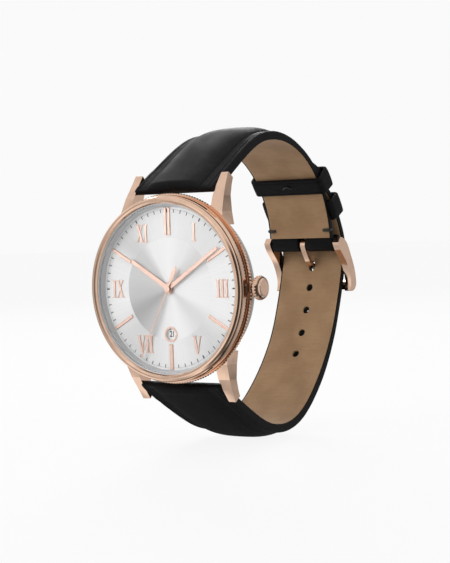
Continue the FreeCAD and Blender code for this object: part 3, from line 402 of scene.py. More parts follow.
handling_marks = make_handling_marks()
turned_lines = make_turned_lines()
sun_rays = make_sun_rays()
hide_grain = make_hide_grain()
brushed_nap = make_brushed_nap()
print("shared effects:", [g.name for g in bpy.data.node_groups])

# %% [markdown]
# ## Metals
# Rose gold plating is gold with copper: its warm colour is the colour of its reflections, so the
# shader is fully metallic. Polish is never perfect, so smudges and hairlines move the roughness a
# little. The small applied marks and hands are lapped flat and look softer than the case.

# %% Metal finishes
FINISH = {}


def metal(name, color, dull, marks=0.10, size=1.0, depth=0.0004):
    """A polished or lapped metal with smudges, hairlines and a little tone."""
    material, tree = new_material(name)
    found = use_group(tree, handling_marks, Size=size)
    darker = tuple(c * 0.90 for c in color)
    tree.surface(Base_Color=tree.mix(found["Smudge"], color, darker))
    tree.surface(Metallic=1.0)
    tree.surface(Roughness=tree.scaled(found["Smudge"], marks, dull))
    bump(tree, found["Hairline"], depth)
    FINISH[name] = material


def turned_metal(name, color, dull, lines, depth):
    """Metal with the rings of a lathe in it."""
    material, tree = new_material(name)
    rings = use_group(tree, turned_lines, Lines_per_mm=lines)
    darker = tuple(c * 0.82 for c in color)
    tree.surface(Base_Color=tree.mix(rings["Tone"], darker, color))
    tree.surface(Metallic=1.0)
    tree.surface(Roughness=tree.scaled(rings["Tone"], 0.08, dull))
    bump(tree, rings["Height"], depth)
    FINISH[name] = material


ROSE = (0.86, 0.59, 0.44)
metal("rose_gold_polish", ROSE, 0.10, marks=0.06)
metal("rose_gold_lapped", (0.70, 0.49, 0.41), 0.33, marks=0.02, size=0.6, depth=0.00001)
metal("steel_fine", (0.60, 0.60, 0.61), 0.28)
metal("brass_gilt", (0.80, 0.62, 0.30), 0.24, size=0.3)
metal("battery_can", (0.70, 0.70, 0.70), 0.30)
turned_metal("case_back_brushed", (0.62, 0.62, 0.63), 0.24, 11.0, 0.004)
turned_metal("nickel_grained", (0.66, 0.65, 0.62), 0.30, 6.0, 0.003)


def crown_polish():
    """Polished plating, painted nearly black low in the flutes as painted shade, found by distance from the
    stem's axis.
    """
    material, tree = new_material("crown_polish")
    found = use_group(tree, handling_marks, Size=0.5)
    point = tree.add("VectorMath", {"operation": "SUBTRACT"}, _0=tree.add("TexCoord").outputs["Object"])
    point.inputs[1].default_value = stem_axis
    parts = tree.add("SeparateXYZ", _0=point.outputs[0]).outputs
    reach = tree.math("MULTIPLY", reach_from_axis(tree, parts[1], parts[2]), 1 / MM)
    side = tree.math("LESS_THAN", parts[0], crown_end - 0.28 * MM)
    low = tree.ramp(tree.math("DIVIDE", reach, crown_radius), [(0.86, 1.0), (0.965, 0.0)])
    # Painted shade: the lower part of each flute, on the crown's side, is painted toward near-black.
    painted_flute_shade = tree.math("MULTIPLY", tree.math("MULTIPLY", low, side), 0.92)
    ring = tree.math("SUBTRACT", 1.0, tree.math("MULTIPLY", tree.math("ABSOLUTE", tree.math(
        "SUBTRACT", reach, 0.62 * crown_radius)), 9.0), clamp=True)
    ring = tree.math("MULTIPLY", ring, tree.math("SUBTRACT", 1.0, side))
    # The near-black colour is the painted shade in the flutes.
    tree.surface(Base_Color=tree.mix(painted_flute_shade, ROSE, (0.075, 0.040, 0.026)))
    tree.surface(Metallic=1.0)
    tree.surface(Roughness=tree.scaled(found["Smudge"], 0.06, 0.14))
    bump(tree, ring, 0.05)
    FINISH["crown_polish"] = material


crown_low, crown_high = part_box("crown")
stem_axis = (0, (crown_low.y + crown_high.y) / 2, (crown_low.z + crown_high.z) / 2)
crown_end = crown_high.x
crown_radius = (crown_high.z - crown_low.z) / 2 / MM
crown_polish()
print("metals:", list(FINISH))

# %% [markdown]
# ## The dial
# A silver dial is brushed in fine rays from the middle and then lacquered. Under light the rays show
# pale and dark sectors that meet in the centre, strong on the inner disc and weak on the hour ring.
# That reflected light is painted into the dial's colour here: painted reflection. We read how far
# round and how far out a point is, and let two ramps set the tone of the painted sectors.

# %% Dial finish
INNER_DISC = 11.55        # mm
# Painted reflection: tones of the pale and dark sectors that light makes on the brushed inner disc and hour
# ring, painted into the colour.
PAINTED_REFLECTION_FAN_TONES = [(0.0, 0.94), (0.07, 0.88), (0.13, 0.74), (0.17, 0.80), (0.21, 0.92), (0.30, 0.92),
             (0.36, 0.76), (0.46, 0.93), (0.52, 0.90), (0.59, 0.56), (0.665, 0.42), (0.73, 0.58),
             (0.82, 0.66), (0.88, 0.64), (0.93, 0.90), (1.0, 0.94)]
PAINTED_REFLECTION_RING_TONES = [(0.0, 0.90), (0.12, 0.82), (0.22, 0.93), (0.30, 0.92), (0.38, 0.72), (0.48, 0.88),
              (0.62, 0.70), (0.72, 0.90), (0.80, 0.88), (0.875, 0.66), (0.95, 0.88), (1.0, 0.90)]


def dial_finish():
    material, tree = new_material("dial_sunray_painted_fans")
    rays = use_group(tree, sun_rays, Lines=260.0)
    # The painted reflection sectors, read round the dial, become the dial's base tone.
    painted_fans = tree.ramp(rays["Turn"], PAINTED_REFLECTION_FAN_TONES)
    ring = tree.ramp(rays["Turn"], PAINTED_REFLECTION_RING_TONES)
    out = tree.math("SUBTRACT", rays["Reach"], INNER_DISC)
    on_ring = tree.math("MULTIPLY", out, 8.0, clamp=True)
    tone = tree.mix(on_ring, painted_fans, ring)
    streak = tree.ramp(rays["Height"], [(0.25, 0.94), (0.75, 1.0)], smooth=False)
    tone = tree.add("Mix", {"data_type": "RGBA", "blend_type": "MULTIPLY"}, _0=1.0, _6=tone, _7=streak)
    edge = tree.math("ABSOLUTE", out)
    # Painted shade: a thin darker line along the step at the inner disc's edge; the same mask also raises
    # the bump there.
    groove = tree.math("SUBTRACT", 1.0, tree.math("MULTIPLY", edge, 11.0), clamp=True)
    shade = tree.mix(tree.math("MULTIPLY", groove, 0.12), tone.outputs[2], (0.45, 0.45, 0.46))
    tree.surface(Base_Color=shade)
    tree.surface(Metallic=0.0)
    tree.surface(Roughness=0.42)
    tree.surface(Specular_IOR_Level=0.3)
    bump(tree, tree.math("ADD", tree.math("MULTIPLY", rays["Height"], 0.1), groove), 0.01)
    FINISH["dial_sunray_painted_fans"] = material


def lacquer(name, color, dull, grain=0.9):
    """Satin paint: an even colour with a faint orange-peel grain."""
    material, tree = new_material(name)
    point = tree.add("TexCoord").outputs["Object"]
    peel = tree.add("TexNoise", Vector=point, Scale=900.0, Detail=2.0)
    darker = tuple(c * grain for c in color)
    tree.surface(Base_Color=tree.mix(peel.outputs[0], darker, color))
    tree.surface(Roughness=tree.scaled(peel.outputs[0], 0.12, dull - 0.06))
    bump(tree, peel.outputs[0], 0.002)
    FINISH[name] = material


dial_finish()
lacquer("flange_satin", (0.60, 0.60, 0.61), 0.38)
lacquer("gasket_nylon", (0.62, 0.62, 0.62), 0.5)
lacquer("date_paper_white", (0.97, 0.97, 0.96), 0.6, grain=0.97)
lacquer("printed_black", (0.02, 0.02, 0.022), 0.5)
lacquer("gasket_rubber", (0.03, 0.03, 0.03), 0.6)
lacquer("moulded_dark", (0.07, 0.07, 0.075), 0.45)
lacquer("moulded_ivory", (0.72, 0.69, 0.60), 0.40)
lacquer("circuit_green", (0.03, 0.16, 0.08), 0.35)
print("finishes so far:", len(FINISH))

# %% [markdown]
# ## Leather, lining, thread, wire and glass
# Box calf is nearly black, and what shows its surface is a low sheen over fine pores. The lining is
# napped: it scatters light, so it has no gloss, and its tone changes with the way the nap was rubbed.

# %% Leather and lining finishes


def calf_leather():
    """Black box calf: pores, a few soft creases, and a low sheen that wear makes uneven."""
    material, tree = new_material("black_calf")
    hide = use_group(tree, hide_grain, Pores_per_mm=2.6)
    base = tree.mix(hide["Wear"], (0.0030, 0.0030, 0.0036), (0.0060, 0.0060, 0.0070))
    base = tree.mix(tree.math("MULTIPLY", hide["Crease"], 0.25), base, (0.012, 0.012, 0.013))
    tree.surface(Base_Color=base)
    tree.surface(Roughness=tree.scaled(hide["Wear"], 0.14, 0.44))
    tree.surface(Specular_IOR_Level=0.11)
    deep = tree.scaled(hide["Crease"], -0.4, hide["Height"])
    bump(tree, deep, 0.025)
    FINISH["black_calf"] = material


def tan_nap():
    """Tan lining: napped leather with fine lines across the strap and darker rubbed patches."""
    material, tree = new_material("tan_nap")
    nap = use_group(tree, brushed_nap, Lines_per_mm=1.9)
    base = tree.mix(nap["Blotch"], (0.235, 0.138, 0.070), (0.325, 0.202, 0.108))
    base = tree.mix(tree.math("MULTIPLY", nap["Lines"], 0.22), base, (0.20, 0.112, 0.055))
    base = tree.mix(tree.math("MULTIPLY", nap["Fuzz"], 0.40), base, (0.38, 0.25, 0.15))
    tree.surface(Base_Color=base)
    tree.surface(Roughness=0.88)
    tree.surface(Specular_IOR_Level=0.15)
    tree.surface(Sheen_Weight=0.12)
    high = tree.scaled(nap["Lines"], 0.6, nap["Fuzz"])
    bump(tree, high, 0.04)
    FINISH["tan_nap"] = material


def waxed_thread():
    """Waxed thread, its strands wound in a slanting lay, black; the grooves of the lay are painted darker:
    painted shade.
    """
    material, tree = new_material("waxed_thread")
    point = tree.add("Mapping", Vector=tree.add("TexCoord").outputs["Object"])
    point.inputs["Rotation"].default_value = (0.5, 0.0, 0.4)
    lay = tree.add("TexWave", Vector=point.outputs[0], Scale=1400.0, Distortion=1.0)
    # Painted shade: the grooves between the strands are painted darker than their tops.
    lay_with_painted_shade = tree.mix(lay.outputs[1], (0.012, 0.012, 0.012), (0.03, 0.03, 0.03))
    tree.surface(Base_Color=lay_with_painted_shade)
    tree.surface(Roughness=0.55)
    bump(tree, lay.outputs[1], 0.02)
    FINISH["waxed_thread"] = material


def wound_wire():
    """Enamelled copper wire, wound side by side, painted darker between the turns and brighter along them:
    painted shade and highlight.
    """
    material, tree = new_material("wound_wire")
    point = tree.add("TexCoord").outputs["Object"]
    turns = tree.add("TexWave", Vector=point, Scale=1900.0)
    # Painted shade and highlight: each turn is painted dark at its sides and bright along its middle.
    copper = tree.mix(turns.outputs[1], (0.28, 0.09, 0.04), (0.62, 0.27, 0.14))
    tree.surface(Base_Color=copper)
    tree.surface(Metallic=0.8)
    tree.surface(Roughness=0.3)
    bump(tree, turns.outputs[1], 0.03)
    FINISH["wound_wire"] = material


CLEAR_INDEX = 1.03


def sapphire_glass():
    """Clear coated crystal, on which only the roughness shows the handling.

    The index is far below sapphire's 1.77, so that the dial is seen with no reflections over it.
    """
    material, tree = new_material("sapphire_glass")
    found = use_group(tree, handling_marks, Size=3.0)
    tree.surface(Base_Color=(1, 1, 1, 1))
    tree.surface(Transmission_Weight=1.0)
    tree.surface(IOR=CLEAR_INDEX)
    tree.surface(Roughness=tree.math("MULTIPLY", found["Smudge"], 0.012))
    bump(tree, found["Hairline"], 0.00002)
    FINISH["sapphire_glass"] = material


calf_leather()
tan_nap()
waxed_thread()
wound_wire()
sapphire_glass()
print("finishes:", sorted(FINISH))

# %% [markdown]
# ## Finishes on the parts that keep their shape
# Each part names a slot in the record, and most slots have one finish. Small edges get a bevel
# modifier, because a real edge is never sharp and its thin bright line is what the eye looks for.

# %% Dress the frame's own parts
FINISH_OF_SLOT = {
    "rose_gold_polished": "rose_gold_polish", "brushed_steel_back": "case_back_brushed",
    "sapphire": "sapphire_glass", "gasket_rubber": "gasket_rubber", "dial_silver": "dial_sunray_painted_fans",
    "flange_grey": "flange_satin", "date_ring_white": "date_paper_white",
    "movement_nickel": "nickel_grained",
    "movement_brass": "brass_gilt", "movement_plastic": "moulded_dark", "rotor_plastic": "moulded_ivory",
    "coil_copper": "wound_wire", "circuit_green": "circuit_green", "battery_steel": "battery_can",
    "steel_plain": "steel_fine", "black_leather": "black_calf", "tan_lining": "tan_nap"}
APPLIED = ("hour_batons", "hour_numerals", "hour_hand", "minute_hand", "seconds_hand", "date_frame")
EDGES = {"bezel": 0.10, "case_middle": 0.16, "buckle_frame": 0.45, "buckle_tongue": 0.30, "crown": 0.06,
         "hour_hand": 0.05, "minute_hand": 0.05, "hour_batons": 0.05, "date_frame": 0.05}
OWN_FINISH = {"crystal_gasket": "gasket_nylon", "crown": "crown_polish"}
BEVEL_FROM = 32           # degrees between faces
slot_of = {part["node"]: part["material_slot"] for part in frame["record"]["subparts"]}


def round_edges(node, width_mm):
    bevel = node.modifiers.new("worn_edges", "BEVEL")
    bevel.width = width_mm * MM
    bevel.segments = 3
    bevel.limit_method = "ANGLE"
    bevel.angle_limit = math.radians(BEVEL_FROM)
    bevel.harden_normals = True


for name, node in NODES.items():
    finish = "rose_gold_lapped" if name in APPLIED else FINISH_OF_SLOT[slot_of[name]]
    finish = OWN_FINISH.get(name, finish)
    node.data.materials.clear()
    node.data.materials.append(FINISH[finish])
    if name in EDGES:
        round_edges(node, EDGES[name])
print("dressed:", len(NODES), "parts")

# %% [markdown]
# ## Measuring the strap
# The frame's strap is a plain solid. We feel along it with rays to learn where it runs: its inner
# line, the height of its faces above that line, and how wide it is. Everything soft is built on that.

# %% Rays
LOOP_CENTRE = Vector((0, 24, 0)) * MM


def surface_of(name):
    node = NODES[name]
    place = node.matrix_world
    corners = [place @ v.co for v in node.data.vertices]
    return BVHTree.FromPolygons(corners, [tuple(p.vertices) for p in node.data.polygons])


def outward(degrees):
    """A direction in the YZ plane; 0 is away from the dial and 90 is up."""
    return Vector((0, math.cos(math.radians(degrees)), math.sin(math.radians(degrees))))


def inner_line(surface, start, stop, step=0.25, across=5.0):
    """Points of a surface's inner face, seen from the middle of the loop, along a range of directions."""
    points = []
    for i in range(int(abs(stop - start) / step) + 1):
        degrees = start + i * step * (1 if stop > start else -1)
        hit = surface.ray_cast(LOOP_CENTRE + Vector((across * MM, 0, 0)), outward(degrees))[0]
        if hit:
            points.append(Vector((0, hit.y, hit.z)))
    return points


class Run:
    """A smooth line in the YZ plane that can be read at any length along it."""

    def __init__(self, points):
        self.points = points
        self.lengths = [0.0]
        for a, b in zip(points, points[1:]):
            self.lengths.append(self.lengths[-1] + (b - a).length)
        self.total = self.lengths[-1]

    def at(self, length):
        length = min(max(length, 0.0), self.total)
        low = max(i for i, s in enumerate(self.lengths) if s <= length)
        low = min(low, len(self.points) - 2)
        part = (length - self.lengths[low]) / max(self.lengths[low + 1] - self.lengths[low], 1e-9)
        return self.points[low].lerp(self.points[low + 1], part)

    def frame_at(self, length, reach=1.2 * MM):
        """(point, outward normal) with the normal taken over a couple of millimetres."""
        ahead = self.at(length + reach) - self.at(length - reach)
        along = ahead.normalized()
        normal = Vector((0, along.z, -along.y))
        point = self.at(length)
        if normal.dot(point - LOOP_CENTRE) < 0:
            normal = -normal
        return point, normal


def smooth(values, passes=2):
    for _ in range(passes):
        values = [(values[max(i - 1, 0)] + values[i] + values[min(i + 1, len(values) - 1)]) / 3
                  for i in range(len(values))]
    return values


def height_above(surface, point, normal, across):
    """How far a surface's outer face is above a point, felt from outside."""
    start = point + normal * 9 * MM + Vector((across, 0, 0))
    hit = surface.ray_cast(start, -normal, 9 * MM)[0]
    return (hit - point).dot(normal) if hit else None


def half_width(surface, point, normal, height):
    hit = surface.ray_cast(point + normal * height + Vector((20 * MM, 0, 0)), Vector((-1, 0, 0)), 20 * MM)[0]
    return hit.x if hit else None


leather_12, lining_12 = surface_of("strap_12_leather"), surface_of("strap_12_lining")
leather_6, lining_6 = surface_of("strap_6_leather"), surface_of("strap_6_lining")
line_12 = Run(inner_line(lining_12, 150, -20))
line_6 = Run(inner_line(lining_6, -150, 75))
JOINT_PLACES = {j["name"]: j.get("pos_m") for j in frame["record"]["behaviour"]["joints"]}
buckle_axis = Vector(JOINT_PLACES["buckle_turn"])
for label, run in (("12 side", line_12), ("6 side", line_6)):
    ends = [tuple(round(c / MM, 1) for c in run.at(s)[1:]) for s in (0, run.total)]
    print(label, "runs, mm:", round(run.total / MM, 1), "from", ends[0], "to", ends[1])

# %% [markdown]
# ## Sewing the strap
# Each half is two skins, black calf outside and a tan lining inside, over a soft filling that stops
# short of the edges. So the outer skin swells in the middle and is pressed flat near the edge, where
# a line runs along it. We lay one cross-section after another along the measured line. The filling is
# modelled directly as a swelling of the section, because glued leather keeps its pressed shape.

# %% Loft of cross-sections


SHARP_ANGLE = 40


def dressed(name, mesh, finish, body):
    """An object with its finish that rides a body."""
    piece = new_object(name, mesh)
    mesh.materials.append(FINISH[finish])
    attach(piece, body)
    return piece


def mesh_piece(name, vertices, faces, finish, body):
    """A finished piece from points and faces: faces wound outwards, material and body."""
    mesh = bpy.data.meshes.new(name)
    mesh.from_pydata([tuple(v) for v in vertices], [], faces)
    shape = bmesh.new()
    shape.from_mesh(mesh)
    bmesh.ops.remove_doubles(shape, verts=shape.verts, dist=0.002 * MM)
    bmesh.ops.recalc_face_normals(shape, faces=shape.faces)
    shape.to_mesh(mesh)
    shape.free()
    mesh.shade_smooth()
    mesh.set_sharp_from_angle(angle=math.radians(SHARP_ANGLE))
    return dressed(name, mesh, finish, body)


def loft(sections, closed=False):
    """Points and faces that join equal rings of points, with flat ends unless it is closed."""
    count = len(sections[0])
    points = [p for section in sections for p in section]
    faces = []
    for i in range(len(sections) - (0 if closed else 1)):
        a, b = i * count, (i + 1) % len(sections) * count
        for j in range(count):
            k = (j + 1) % count
            faces.append((a + j, a + k, b + k, b + j))
    if not closed:
        faces.append(tuple(range(count)))
        faces.append(tuple(range((len(sections) - 1) * count, len(sections) * count)))
    return points, faces


# %% Sections of the two skins
EDGE_LINE, LINE_WIDTH, LINE_DEPTH = 1.15, 0.16, 0.16
PAINTED_EDGE = 0.30


def outer_skin(half, low, rim, crown, pad):
    """(across, height) in mm round the outer skin's section, from one edge over the top to the other."""
    corner = min(0.42, (rim - low) * 0.48)
    flat = half - corner
    line = max(half - EDGE_LINE, 0.2 * half)
    pad = min(pad, line - 0.4)
    places = [pad * f for f in (0, 0.2, 0.4, 0.55, 0.68, 0.79, 0.88, 0.94, 0.98, 1.0)]
    places += [line - LINE_WIDTH, line - 0.05, line + 0.05, line + LINE_WIDTH]
    places += [line + LINE_WIDTH + (flat - line - LINE_WIDTH) * f for f in (0.5, 1.0)]
    right = []
    for x in places:
        swell = (1 - min(x / max(pad, 0.1), 1.0) ** 3.2) if pad > 0.3 else 0.0
        groove = LINE_DEPTH * max(0.0, 1 - (abs(x - line) / LINE_WIDTH) ** 2) if half > 2.5 else 0.0
        right.append((x, rim + (crown - rim) * swell ** 0.75 - groove))
    for i in range(1, 6):
        turn = math.radians(18 * i)
        right.append((flat + corner * math.sin(turn), rim - corner * (1 - math.cos(turn))))
    right.append((half, min(low, 0.05)))
    inset = half - min(PAINTED_EDGE, 0.3 * half)
    base = [(inset + 0.04, 0.0), (inset, min(low, 0.04)), (inset, low)]
    base += [(inset * f, low) for f in (0.6, 0.25)]
    return right + base + [(0.0, low)] + [(-x, h) for x, h in reversed(right[1:] + base)]


def inner_skin(half, low, rim, crown, pad):
    """(across, height) in mm round the lining's section; its edge is cut back from the outer skin's.

    The lining is flat, so it takes no notice of crown and pad, which outer_skin needs.
    """
    half = max(half - min(PAINTED_EDGE, 0.3 * half), 0.1)
    corner = min(0.10, half * 0.3)
    right = [(half * f, low) for f in (0.0, 0.25, 0.5, 0.75, 0.9)] + [(half - corner, low)]
    right += [(half - 0.3 * corner, low + 0.3 * corner), (half, low + corner), (half, rim)]
    right += [(half * f, rim) for f in (0.6, 0.25)]
    return right + [(0.0, rim)] + [(-x, h) for x, h in reversed(right[1:])]


# %% Reading a strap half, station by station
HALF, EDGE, CROWN, PLACE = 3, 4, 5, 6     # columns of a strap's measures
ROUND_END = (1.35, 0.5)

def stations(total, ends, step=0.6):
    """Lengths in mm along a strap, close together at its rounded ends, with how full the section is."""
    near = (0.0, 0.04, 0.12, 0.24, 0.4, 0.6, 0.8, 1.0)
    lengths = [(f * ends[0], math.sqrt(1 - (1 - f) ** 2)) for f in near]
    middle = total - ends[0] - ends[1]
    count = int(middle / step)
    lengths += [(ends[0] + middle * i / count, 1.0) for i in range(1, count)]
    lengths += [(total - f * ends[1], math.sqrt(1 - (1 - f) ** 2)) for f in reversed(near)]
    return lengths


def measure_strap(run, lining, leather, stop, ends):
    """Section data all along a strap half: point, normal, fullness, half width and heights in mm."""
    found = []
    for s, full in stations(stop, ends):
        point, normal = run.frame_at(s * MM)
        probe = min(max(s, 0.5), stop - 0.5) * MM
        at, facing = run.frame_at(probe)
        half = half_width(leather, at, facing, 1.0 * MM) or half_width(lining, at, facing, 0.3 * MM)
        rims = height_above(leather, at, facing, (half or 9 * MM) - 0.7 * MM)
        crown = height_above(leather, at, facing, min(3.0 * MM, 0.5 * (half or 9 * MM)))
        found.append([point, normal, full, half, rims, crown, s])
    for column in (HALF, EDGE, CROWN):
        values = [row[column] for row in found]
        known = [v for v in values if v]
        values = [v if v else known[0] for v in values]
        values = smooth(values) if column != HALF else values
        for row, v in zip(found, values):
            row[column] = v / MM
    return found


def sew(name, finish, data, section, pad, low, rim=None):
    """A skin of a strap half; only the lining has a rim, which is its outer height."""
    rings = []
    for point, normal, full, half, edge, crown, s in data:
        if rim is not None and s < WRAP:
            continue
        top = min(edge, 2.0) if crown < 3.0 else min(edge, 2.2)
        middle = (crown if crown > 2.0 else edge) / 2
        ring = []
        floor_height = low if rim is not None or s > WRAP + 0.3 else 0.0
        for x, height in section(half, floor_height, top if rim is None else rim, crown, pad):
            height = middle + (height - middle) * full
            ring.append(point + normal * height * MM + Vector((x * MM, 0, 0)))
        rings.append(ring)
    points, faces = loft(rings)
    return mesh_piece(name, points, faces, finish, "case_and_strap")


# %% Sew both halves
SKIN = 0.6                 # how thick the lining is
PRESSED_LOW = SKIN - 0.12  # the black skin starts a little inside the lining, so no gap shows
WRAP = 4.2                 # the black skin alone goes round the lug's bar, and the lining starts after it
PAD_HALF = 7.6
PRESSED_EDGE = 1.6
LUG_EXTRA = 0.55           # the edge is thicker near the case and thins away from it
data_12 = measure_strap(line_12, lining_12, leather_12, line_12.total / MM, ROUND_END)
data_6 = measure_strap(line_6, lining_6, leather_6, line_6.total / MM - 0.2, ROUND_END)
for data, thins_from, thins_to in ((data_12, 30, 42), (data_6, 50, 68)):
    for row in data:
        thick = min(max((thins_to - row[PLACE]) / (thins_to - thins_from), 0.0), 1.0)
        row[EDGE] = min(row[EDGE], PRESSED_EDGE) + LUG_EXTRA * thick
        row[CROWN] = max(row[CROWN], row[EDGE])
sewn = [sew("strap_12_calf", "black_calf", data_12, outer_skin, PAD_HALF, PRESSED_LOW),
        sew("strap_6_calf", "black_calf", data_6, outer_skin, PAD_HALF, PRESSED_LOW),
        sew("strap_12_nap", "tan_nap", data_12, inner_skin, PAD_HALF, 0.0, SKIN),
        sew("strap_6_nap", "tan_nap", data_6, inner_skin, PAD_HALF, 0.0, SKIN)]
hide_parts("strap_12_leather")
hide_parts("strap_6_leather")
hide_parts("strap_12_lining")
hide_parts("strap_6_lining")
print("sewn:", {piece.name: len(piece.data.polygons) for piece in sewn})

# %% [markdown]
# ## Punching the holes
# The tail has a row of holes. Where a ray down the middle passes through the frame's lining, there is
# a hole, so we feel for the gaps. A punch is a round rod. The black skin's holes are made narrower
# than the lining's, so that hardly any light comes through and each looks dark. The tongue's hole is
# long, because the tongue has to lift in it.

# %% Holes
LINING_HOLE, BLACK_HOLE = 0.95, 0.45
LINING_WORN, BLACK_WORN = (0.95, 1.35), (0.85, 1.60)

def hole_places(surface, start, stop, step=0.1):
    """Middles of the gaps that rays through the middle plane find, as directions in degrees."""
    places, opened, before = [], None, False
    for i in range(int((stop - start) / step)):
        degrees = start + i * step
        solid = surface.ray_cast(LOOP_CENTRE, outward(degrees))[0] is not None
        if before and not solid:
            opened = degrees
        if solid and not before and opened is not None:
            places.append((opened + degrees) / 2)
            opened = None
        before = solid
    return places


def punch(piece, spots, radius, worn):
    """Cuts round holes; the last one, which the tongue goes through, is a long oval (wide, long)."""
    rods = bmesh.new()
    for i, (point, normal) in enumerate(spots):
        aim = normal.to_track_quat("Z", "Y").to_matrix().to_4x4()
        if i == len(spots) - 1:
            aim = aim @ Matrix.Diagonal((worn[0] / radius, worn[1] / radius, 1, 1))
        place = Matrix.Translation(point + normal * 0.8 * MM) @ aim
        bmesh.ops.create_cone(rods, cap_ends=True, segments=28, radius1=radius * MM, radius2=radius * MM,
                              depth=6 * MM, matrix=place)
    mesh = bpy.data.meshes.new("punch")
    rods.to_mesh(mesh)
    rods.free()
    cutter = new_object("punch", mesh)
    cut = piece.modifiers.new("punched", "BOOLEAN")
    cut.operation, cut.solver, cut.object = "DIFFERENCE", "EXACT", cutter
    done = bpy.data.meshes.new_from_object(piece.evaluated_get(bpy.context.evaluated_depsgraph_get()))
    piece.modifiers.clear()
    piece.data = done
    bpy.data.objects.remove(cutter)
    done.set_sharp_from_angle(angle=math.radians(SHARP_ANGLE))


hole_turns = hole_places(lining_6, -60, 40)
hole_spots = []
for degrees in hole_turns:
    beside = lining_6.ray_cast(LOOP_CENTRE + Vector((5 * MM, 0, 0)), outward(degrees))[0]
    gaps = [(point - Vector((0, beside.y, beside.z))).length for point in line_6.points]
    nearest = gaps.index(min(gaps))
    hole_spots.append(line_6.frame_at(line_6.lengths[nearest]))
bpy.context.view_layer.update()
punch(sewn[3], hole_spots, LINING_HOLE, LINING_WORN)
punch(sewn[1], hole_spots, BLACK_HOLE, BLACK_WORN)
print("holes:", len(hole_spots))

# %% [markdown]
# ## Keepers, fold and stitches
# A keeper is a band of leather bent round the strap in a flat loop. We walk round the loop and lay
# the band's own small section, with rounded edges, at each step.

# %% Leather loops


def loop_path(half, low, high, corner, steps=7):
    """(across, out, turn) round a flat loop with rounded corners; turn is the outward direction."""
    path = []
    corners = [(half - corner, high - corner, 0), (-half + corner, high - corner, 90),
               (-half + corner, low + corner, 180), (half - corner, low + corner, 270)]
    for x, y, start in corners:
        for i in range(steps + 1):
            turn = math.radians(start + 90 * i / steps)
            path.append((x + corner * math.cos(turn), y + corner * math.sin(turn), turn))
    filled = []
    for a, b in zip(path, path[1:] + path[:1]):
        filled.append(a)
        gap = math.dist(a[:2], b[:2])
        for i in range(1, int(gap / 0.8) + 1):
            f = i / (int(gap / 0.8) + 1)
            filled.append((a[0] + (b[0] - a[0]) * f, a[1] + (b[1] - a[1]) * f, b[2] if gap > 1 else a[2]))
    return filled


def band_section(wide, skin):
    """(along, out) in mm round the band: rounded edges, a pressed line near each, a faint swelling."""
    half, corner = wide / 2, skin * 0.45
    top = []
    for f in (-1, -0.9, -0.84, -0.78, -0.5, 0, 0.5, 0.78, 0.84, 0.9, 1):
        along = f * (half - corner)
        pressed = 0.08 if abs(f) == 0.84 else 0.0
        top.append((along, skin / 2 + 0.07 * (1 - f * f) - pressed))
    side = [(half - corner + corner * math.sin(a), (skin / 2 - corner) + corner * math.cos(a))
            for a in (math.radians(d) for d in (30, 60, 90))]
    back = [(half - corner * 0.3, -skin / 2 + corner * 0.3), (half - corner, -skin / 2), (0, -skin / 2)]
    return top + side + back + [(-x, h) for x, h in reversed(side + back[:-1])]


def leather_loop(name, centre, along, out, wide, half, low, high, skin, corner, body, node, bend=None):
    """A loop round the strap: along is the strap's way, out its outward way, bend its radius in mm."""
    rings = []
    for x, height, turn in loop_path(half, low, high, corner):
        ring = []
        for a, h in band_section(wide, skin):
            across = Vector(((x + math.cos(turn) * h) * MM, 0, 0))
            rise = (height + math.sin(turn) * h) * MM
            if bend:
                swing = a / bend
                ring.append(centre + across + (out * math.cos(swing) + along * math.sin(swing)) * rise)
            else:
                ring.append(centre + across + out * rise + along * a * MM)
        rings.append(ring)
    points, faces = loft(rings, closed=True)
    piece = mesh_piece(name, points, faces, "black_calf", body)
    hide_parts(node)


def across_turn(degrees):
    """The strap's own way, square to the outward direction."""
    return Vector((0, -math.sin(math.radians(degrees)), math.cos(math.radians(degrees))))


# %% Place both keepers
pivot = Vector(JOINT_PLACES["keeper_slide"])


def hits_along(surface, start, degrees):
    """Distances in mm at which a ray from start crosses a surface."""
    way, found, origin = outward(degrees), [], start.copy()
    hit = surface.ray_cast(origin, way)[0]
    while hit and len(found) < 8:
        found.append((hit - start).length / MM)
        origin = hit + way * 1e-6
        hit = surface.ray_cast(origin, way)[0]
    return found


def seen_range(surface, start, low, high):
    seen = [d / 4 for d in range(low * 4, high * 4) if surface.ray_cast(start, outward(d / 4))[0]]
    return min(seen), max(seen)


free, fixed = surface_of("free_keeper"), surface_of("fixed_keeper")
low_turn, high_turn = seen_range(free, pivot, 0, 90)
middle = (low_turn + high_turn) / 2
bands = hits_along(free, pivot, middle)
keeper_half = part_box("free_keeper")[1].x / MM
skin = bands[1] - bands[0]
wide = math.radians(high_turn - low_turn) * (bands[0] + bands[-1]) / 2
middle_turn, free_inner = middle, bands[0]
KEEPER_CORNER = 0.80
leather_loop("free_keeper_loop", pivot, across_turn(middle), outward(middle), wide, keeper_half - skin / 2,
             bands[0] + skin / 2, bands[-1] - skin / 2, skin, KEEPER_CORNER, "free_keeper", "free_keeper",
             bend=(bands[0] + bands[-1]) / 2)

